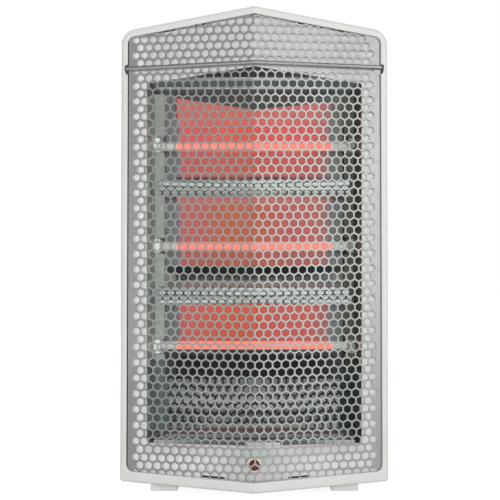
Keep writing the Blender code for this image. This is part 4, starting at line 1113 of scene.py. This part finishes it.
# ------------------------------------------------------------------ casing
def make_wrap():
    def line(ins):
        top = [p for p in outline(ins, ins, 0, R_TOP - ins, 2.0, flat_bottom=FLOOR_Z, nt=18)[1:] if p[0] > 0 and p[1] > 300]
        w = HALF_W_BOT - ins
        right = [(w, FLOOR_Z + 4.2)] + top
        left = [(-x, z) for x, z in reversed(right)]
        return right + [(0.0, TOP_PEAK_Z - ins)] + left
    ob = strip("casing_wrap", line(3.0), line(3.8), 'Y', -52.0, 66.0, mat=WHITE_ENAMEL, smooth=12.0, slot="white_enamel",
               replaces=("housing_wrap",))
    bm = bmesh.new()
    for s in (-1, 1):
        for i in range(6):
            z = 454.0 + i * 12.0
            prof = [(y, zz) for y, zz in stadium(17.0, z, 25.0, 2.0, 8)]
            a, b = sorted((s * 150.0, s * 160.0))
            prism_bm(prof, 'X', a, b, bm)
    carve(ob, bm, 12.0)
    # pressed hood over each louvre
    for s, side in ((-1, "left"), (1, "right")):
        for i in range(6):
            z = 454.0 + i * 12.0
            ws = HALF_W_BOT + (HALF_W_TOP - HALF_W_BOT) * (z - 16) / 530.0 - 3.0
            prof = [(0.0, 3.4), (1.5, 2.6), (2.3, 0.6), (2.0, 0.2), (1.1, 2.0), (0.0, 2.6)]
            bm = bmesh.new()
            rings = []
            for yy, k in ((-6.5, 0.02), (-4.5, 0.75), (-2.0, 1.0), (36.0, 1.0), (38.5, 0.75), (40.5, 0.02)):
                rings.append([bm.verts.new(Vector((s * (ws - 0.15 + p[0] * k), yy, z + p[1])) * MM) for p in prof])
            for a in range(len(rings) - 1):
                bridge(bm, rings[a], rings[a + 1])
            bm.faces.new(rings[0])
            bm.faces.new(rings[-1])
            finish_mesh("louvre_hood_%s_%d" % (side, i + 1), bm, mat=WHITE_ENAMEL, smooth=50.0, slot="white_enamel")


def make_back_cover():
    def lp(ins, y, b, rb=4.0, rt=None):
        return loop3(outline(ins, ins, 0, rt or max(R_TOP - ins, 7.0), rb, flat_bottom=FLOOR_Z + b), lambda x: y)
    outer = [lp(0.8, 60.0, 0.4), lp(0.4, 60.5, 0.0), lp(0.4, 77.0, 0.0)]
    # generous rounding of the rear edge
    R = 14.0
    for k in range(1, 11):
        a = math.radians(90 * k / 10)
        ins = 0.4 + R * (1 - math.cos(a)) * 0.86
        y = 77.0 + (BACK_PLANE_Y - 77.0) * math.sin(a)
        outer.append(lp(ins, y, ins - 0.4, rb=4.0 + ins * 0.5, rt=max(R_TOP - ins * 0.6, 10)))
    inner = [lp(14.5, BACK_PLANE_Y - 2.2, 14.0, 10.0, 12.0), lp(8.0, 89.4, 7.6, 7.0, 12.0), lp(4.6, 84.8, 4.2, 4.0), lp(2.7, 77.5, 2.3, 1.5), lp(2.7, 60.0, 2.3, 1.5)]
    bm = bmesh.new()
    vs = add_loops(bm, outer + inner)
    n_o = len(outer)
    for i in range(n_o - 1):
        bridge(bm, vs[i], vs[i + 1])
    for i in range(n_o, len(vs) - 1):
        bridge(bm, vs[i], vs[i + 1])
    bridge(bm, vs[-1], vs[0])
    bm.faces.new(vs[n_o - 1])
    bm.faces.new(vs[n_o])
    ob = finish_mesh("rear_shell", bm, mat=WHITE_PLASTIC, smooth=20.0, slot="white_plastic", replaces=("back_cover",))
    bm = bmesh.new()
    prism_bm(rounded_rect(0, 483.0, 78.0, 31.0, 4.0), 'Y', 84.0, 100.0, bm)
    prism_bm(rounded_rect(0, 409.0, 58.0, 21.0, 6.0), 'Y', 84.0, 100.0, bm)
    turned_bm([(0, 84), (7.2, 84), (7.2, 100), (0, 100)], (-104.0, 0.0, 52.0), (0, 1, 0), 32, None, bm)
    for s in (-1, 1):
        for z in (44.0, 500.0):
            turned_bm([(0, 84), (2.3, 84), (2.3, 100), (0, 100)], (s * 126.0, 0.0, z), (0, 1, 0), 20, None, bm)
        for i in range(9):
            prism_bm(stadium(s * 59.0, 136.0 + i * 24.0, 49.0, 4.0, 8), 'Y', 84.0, 100.0, bm)
    carve(ob, bm, 20.0)
    # raised frames round the two windows
    for nm, (cz, hw, hh, r) in (("controls", (483.0, 78.0, 31.0, 4.0)), ("pocket", (409.0, 58.0, 21.0, 6.0))):
        o = lambda e, y: [(x, y, z) for x, z in rounded_rect(0, cz, hw + e, hh + e, r + e, 8)]
        yb = BACK_PLANE_Y
        ring_loft("window_frame_" + nm, [o(0.05, yb - 1.0), o(0.05, yb + 0.7), o(0.5, yb + 1.1), o(2.2, yb + 1.1), o(3.0, yb + 0.6), o(3.3, yb - 0.3), o(3.3, yb - 1.0)],
                  mat=WHITE_PLASTIC, smooth=40.0, slot="white_plastic")


def tray(name, cz, hw, hh, r, y_floor, wall, rep):
    yb = BACK_PLANE_Y
    def o(e, y, rr=None):
        return [(x, y, z) for x, z in rounded_rect(0, cz, hw + e, hh + e, max((rr if rr is not None else r) + e, 0.8), 8)]
    w = wall
    loops = [o(-3.0, y_floor), o(-1.0, y_floor + 0.4), o(0, y_floor + 1.6), o(0, yb - 0.3), o(-0.5, yb), o(-w + 0.4, yb), o(-w, yb - 0.5),
             o(-w, y_floor + w + 2.5), o(-w - 0.8, y_floor + w + 0.8), o(-w - 2.5, y_floor + w)]
    bm = stack_bm(loops)
    return finish_mesh(name, bm, mat=BLACK, smooth=35.0, slot="black_plastic", replaces=(rep,))


def make_rear():
    make_back_cover()
    t = tray("control_tray", 483.0, 77.7, 30.7, 3.7, 76.0, 1.6, "control_plate")
    bm = bmesh.new()
    for s in (-1, 1):
        turned_bm([(0, 60), (3.7, 60), (3.7, 90), (0, 90)], (s * 38.0, 0, 483.0), (0, 1, 0), 24, None, bm)
    carve(t, bm, 35.0)
    p = tray("finger_pocket", 409.0, 57.7, 20.7, 5.7, 64.0, 1.8, "handle_cup")
    # knobs: fluted skirt, domed cap, pointer rib with a white line
    for s, stem, rest in ((1, "heat_selector", 180.0), (-1, "thermostat", 225.0)):
        body = "heat_selector" if s > 0 else "thermostat"
        x = s * 38.0
        def flute(a, r, h):
            if 1.8 < h < 14.0 and r > 11:
                return r - 0.55 * (0.5 + 0.5 * math.cos(20 * a)) ** 2
            return r
        prof = [(0, 10.0), (3.4, 10.0), (3.4, 0.0), (16.4, 0.0), (17.2, 0.6), (17.2, 1.4), (16.4, 2.2), (14.9, 2.6), (14.6, 5.0), (14.3, 8.0),
                (14.0, 11.0), (13.7, 13.0), (13.1, 14.4), (11.8, 15.3), (9.0, 15.8), (5.0, 16.0), (0, 16.05)]
        turned(stem + "_grip", prof, (x, 78.2, 483.0), (0, 1, 0), n=160, flute=flute, mat=KNOB, smooth=35.0, slot="knob_plastic",
               ride=body, replaces=(stem + "_knob",))
        # pointer direction at rest, seen from behind: left is +X
        ang = math.radians(0.0 if s > 0 else -45.0)
        d = Vector((math.cos(ang), 0, math.sin(ang)))
        e = Vector((-d.z, 0, d.x))
        c0 = Vector((x, 78.2 + 15.6, 483.0))
        pts = []
        hw, hl0, hl1 = 0.75, 3.0, 12.4
        outl = [(hl0, -hw), (hl1 - hw, -hw)] + [(hl1 - hw + hw * math.sin(t), -hw * math.cos(t)) for t in [math.pi * i / 6 for i in range(1, 6)]] + [(hl1 - hw, hw), (hl0, hw)]
        bm = bmesh.new()
        lo = [bm.verts.new((c0 + d * u + e * v + Vector((0, -1.4, 0))) * MM) for u, v in outl]
        hi = [bm.verts.new((c0 + d * u + e * v + Vector((0, 0.62, 0))) * MM) for u, v in outl]
        bridge(bm, lo, hi)
        bm.faces.new(lo)
        bm.faces.new(hi)
        finish_mesh(stem + "_pointer", bm, mat=MARK, smooth=30.0, slot="knob_plastic", ride=body)
        # dial marks on the tray's floor
        yf = 76.0 + 1.6
        bm = bmesh.new()
        if s > 0:
            for i in range(4):
                a = math.radians(0.0 + 60.0 * i)
                r = 0.8 + 0.45 * i
                turned_bm([(0, 0), (r, 0), (r, 0.18), (0, 0.22)], (x + 21.5 * math.cos(a), yf, 483.0 + 21.5 * math.sin(a)), (0, 1, 0), 20, None, bm)
        else:
            n = 45
            loops = []
            for i in range(n + 1):
                a = math.radians(-45.0 + 270.0 * i / n)
                w = 0.25 + 1.5 * i / n
                cx, cz = math.cos(a), math.sin(a)
                loops.append([(x + (20.6 - w / 2) * cx, yf, 483.0 + (20.6 - w / 2) * cz), (x + (20.6 + w / 2) * cx, yf, 483.0 + (20.6 + w / 2) * cz),
                              (x + (20.6 + w / 2) * cx, yf + 0.2, 483.0 + (20.6 + w / 2) * cz), (x + (20.6 - w / 2) * cx, yf + 0.2, 483.0 + (20.6 - w / 2) * cz)])
            vs = add_loops(bm, loops)
            for i in range(n):
                bridge(bm, vs[i], vs[i + 1])
            bm.faces.new(vs[0])
            bm.faces.new(vs[-1])
        finish_mesh(stem + "_scale", bm, mat=MARK, smooth=30.0, slot="black_plastic")
    # cord inlet bush
    turned("inlet_grommet", [(3.8, -6.0), (6.9, -6.0), (6.9, 2.4), (9.0, 2.4), (9.4, 2.8), (9.4, 3.5), (8.9, 4.2), (6.5, 4.7), (4.6, 4.7), (3.8, 4.0)],
           (-104.0, BACK_PLANE_Y - 2.2, 52.0), (0, 1, 0), n=40, mat=BLACK, slot="black_plastic", replaces=("cord_inlet_bush",))


def make_screws():
    k = 0
    for z in (44.0, 500.0):
        for s in (-1, 1):
            k += 1
            ob = turned("rear_screw_%d" % k, [(0, -12.0), (1.8, -10.5), (1.8, 0.3), (4.2, 0.3), (4.4, 0.6), (4.3, 1.2), (3.7, 1.8), (2.6, 2.2), (1.2, 2.4), (0, 2.4)],
                        (s * 126.0, BACK_PLANE_Y, z), (0, 1, 0), n=32, mat=SCREW, slot="screw_steel", replaces=("back_screw_%d" % k,))
            # the arms of the cross recess overlap, so they are cut one after the other
            for rot in (20, 110):
                a = math.radians(rot)
                bm = bmesh.new()
                pts = [(-2.3, -0.42), (2.3, -0.42), (2.3, 0.42), (-2.3, 0.42)]
                top, bot = [], []
                for px, pz in pts:
                    rx, rz = px * math.cos(a) - pz * math.sin(a), px * math.sin(a) + pz * math.cos(a)
                    top.append(bm.verts.new(Vector((s * 126.0 + rx, BACK_PLANE_Y + 3.4, z + rz)) * MM))
                    bot.append(bm.verts.new(Vector((s * 126.0 + rx * 0.6, BACK_PLANE_Y + 1.2, z + rz * 0.8)) * MM))
                bridge(bm, top, bot)
                bm.faces.new(top)
                bm.faces.new(bot)
                carve(ob, bm, 30.0)


def make_feet():
    for s, side in ((-1, "left"), (1, "right")):
        lo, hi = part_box("foot_" + side)
        lo, hi = lo / MM, hi / MM
        xc, w = (lo.x + hi.x) / 2, (hi.x - lo.x) / 2
        def sec(y, k, z0):
            # section across the foot: chamfered sole, slightly drafted sides
            return [(xc - w * k + 1.6, y, z0), (xc + w * k - 1.6, y, z0), (xc + w * k - 0.4, y, z0 + 0.5), (xc + w * k, y, z0 + 1.6),
                    (xc + w * k - 0.9, y, hi.z), (xc - w * k + 0.9, y, hi.z), (xc - w * k, y, z0 + 1.6), (xc - w * k + 0.4, y, z0 + 0.5)]
        loops = [sec(lo.y, 0.955, 1.4), sec(lo.y + 0.5, 0.98, 0.5), sec(lo.y + 1.6, 1.0, 0.0), sec(hi.y - 1.6, 1.0, 0.0), sec(hi.y - 0.5, 0.98, 0.5), sec(hi.y, 0.955, 1.4)]
        ob = stack_loft("foot_rail_" + side, loops, mat=FOOT, smooth=30.0, slot="foot_plastic", replaces=("foot_" + side,))
        bm = bmesh.new()
        for y in (-22.0, 48.0):
            turned_bm([(0, -2), (5.2, -2), (5.2, 7.0), (2.4, 7.0), (2.4, 20), (0, 20)], (s * 108.5, y, 0), (0, 0, 1), 28, None, bm)
        carve(ob, bm, 30.0)


def make_lamp():
    z, y = 39.6, PROW_Y
    turned("lamp_collar", [(6.5, 6.6), (6.8, 6.35), (7.6, 6.35), (8.8, 6.8), (9.2, 7.4), (9.2, 9.1), (6.5, 9.1)], (0, y, z), (0, 1, 0), n=48,
           mat=CREAM, slot="lamp_cream", replaces=("pilot_lamp_bezel",))
    def facet(a, r, h):
        return r * (1 - 0.03 * (0.5 + 0.5 * math.cos(12 * a))) if 5.2 < h < 7.9 else r
    turned("lamp_lens", [(0, 5.0), (1.6, 5.08), (3.2, 5.35), (4.4, 5.8), (5.3, 6.4), (5.9, 7.1), (6.2, 8.0), (6.2, 18.0), (0, 18.0)], (0, y, z), (0, 1, 0),
           n=96, flute=facet, mat=LENS, smooth=35.0, slot="lamp_red", replaces=("pilot_lamp_lens",))


make_bezel()
make_shadow_gaps()
make_guard()
make_bar()
make_panel()
make_cavity()
make_tubes()
make_wrap()
make_rear()
make_screws()
make_feet()
make_lamp()

# ------------------------------------------------------------------ floor, light, camera
sc = bpy.context.scene
fl = bpy.data.meshes.new("studio_floor")
fl.from_pydata([(-9, -9, 0), (9, -9, 0), (9, 9, 0), (-9, 9, 0)], [], [(0, 1, 2, 3)])
floor = bpy.data.objects.new("studio_floor", fl)
floor.location.z = -0.0002
sc.collection.objects.link(floor)
fm, nt, b = nt_of("studio_floor")
nt.links.new(mix_color(nt, map_range(nt, noise(nt, 3), 0.3, 0.7, 0, 1), (0.38, 0.38, 0.38), (0.40, 0.40, 0.40)), b.inputs["Base Color"])
b.inputs["Roughness"].default_value = 0.7
b.inputs["Emission Color"].default_value = (1, 1, 1, 1)
flp = node(nt, "ShaderNodeLightPath")
nt.links.new(map_range(nt, flp.outputs["Is Camera Ray"], 0.0, 1.0, 0.16, 0.86), b.inputs["Emission Strength"])
fl.materials.append(fm)

world = bpy.data.worlds.new("studio")
sc.world = world
world.use_nodes = True
wt = world.node_tree
bg = wt.nodes["Background"]
tc = node(wt, "ShaderNodeTexCoord")
sep = node(wt, "ShaderNodeSeparateXYZ")
wt.links.new(tc.outputs["Generated"], sep.inputs["Vector"])


def wmath(op, a, b=None):
    return math_node(wt, op, a, b)


wx, wy, wz = sep.outputs["X"], sep.outputs["Y"], sep.outputs["Z"]
elev = wmath('MULTIPLY', wmath('ARCSINE', wz), 180 / math.pi)
azim = wmath('MULTIPLY', wmath('ARCTAN2', wx, wmath('MULTIPLY', wy, -1.0)), 180 / math.pi)   # 0 = towards the camera side
ramp = node(wt, "ShaderNodeValToRGB")
ramp.color_ramp.interpolation = 'LINEAR'
els = [(-90, 0.70), (-8, 0.70), (12, 0.80), (17, 0.03), (37, 0.03), (44, 0.18), (58, 0.22), (70, 0.35), (90, 0.5)]
cr = ramp.color_ramp
while len(cr.elements) < len(els):
    cr.elements.new(0.5)
for e, (deg, v) in zip(cr.elements, els):
    e.position = (deg + 90) / 180
    e.color = (v, v, v, 1)
wt.links.new(map_range(wt, elev, -90, 90, 0, 1), ramp.inputs[0])
# azimuth: darker to the left of the camera, brighter to its right, bright softboxes at both sides
ramp2 = node(wt, "ShaderNodeValToRGB")
azs = [(-180, 0.75), (-100, 0.45), (-60, 0.35), (-38, 0.22), (-12, 0.38), (0, 1.0), (14, 0.95), (60, 0.80), (180, 0.75)]
cr = ramp2.color_ramp
while len(cr.elements) < len(azs):
    cr.elements.new(0.5)
for e, (deg, v) in zip(cr.elements, azs):
    e.position = (deg + 180) / 360
    e.color = (v, v, v, 1)
wt.links.new(map_range(wt, azim, -180, 180, 0, 1), ramp2.inputs[0])
front = map_range(wt, wmath('ABSOLUTE', azim), 22.0, 55.0, 1.0, 0.0)
elev_part = mix_color(wt, front, mix_color(wt, map_range(wt, elev, 20, 80, 0, 1), (0.85, 0.85, 0.85), (0.5, 0.5, 0.5)), ramp.outputs[0])
mul = node(wt, "ShaderNodeMix", data_type='RGBA', blend_type='MULTIPLY')
mul.inputs[0].default_value = 1.0
wt.links.new(elev_part, mul.inputs[6])
wt.links.new(ramp2.outputs[0], mul.inputs[7])
lp = node(wt, "ShaderNodeLightPath")
final = mix_color(wt, lp.outputs["Is Camera Ray"], mul.outputs[2], (1.0, 1.0, 1.0))
wt.links.new(final, bg.inputs["Color"])
bg.inputs["Strength"].default_value = 1.0


def area(name, loc, target, size, power, color=(1, 1, 1), glossy=True):
    li = bpy.data.lights.new(name, 'AREA')
    li.shape = 'RECTANGLE'
    li.size, li.size_y = size
    li.energy = power
    li.color = color
    o = bpy.data.objects.new(name, li)
    o.location = loc
    o.rotation_euler = (Vector(target) - Vector(loc)).to_track_quat('-Z', 'Y').to_euler()
    sc.collection.objects.link(o)
    o.visible_glossy = glossy
    o.visible_camera = False
    return o


area("front_fill", (0.12, -2.6, 0.55), (0, 0, 0.28), (0.5, 0.5), 21, glossy=False)
area("front_fill_left", (-0.9, -2.3, 0.5), (0, 0, 0.28), (0.7, 0.9), 11, glossy=False)
area("key_right", (1.5, -1.9, 0.6), (0, 0, 0.3), (0.7, 1.3), 7)
area("back_fill", (0.7, 2.6, 1.2), (0, 0, 0.3), (1.4, 1.4), 25, glossy=False)
area("back_left", (-2.0, 1.6, 0.9), (0, 0, 0.3), (1.0, 1.4), 14, glossy=False)

cam = bpy.data.cameras.new("camera")
cam.sensor_width = 36.0
cam.lens = FOCAL * 36 / 500
cam.clip_start = 0.05
cam.clip_end = 60
co = bpy.data.objects.new("camera", cam)
sc.collection.objects.link(co)
co.matrix_world = Matrix.Translation((0.0, -0.095 - 1.26, 0.273)) @ Matrix.Rotation(math.pi / 2, 4, 'X')
cam.shift_x = -4.3 / 500
cam.shift_y = 14.0 / 500
sc.camera = co
sc.view_settings.view_transform = 'Standard'
sc.view_settings.look = 'None'
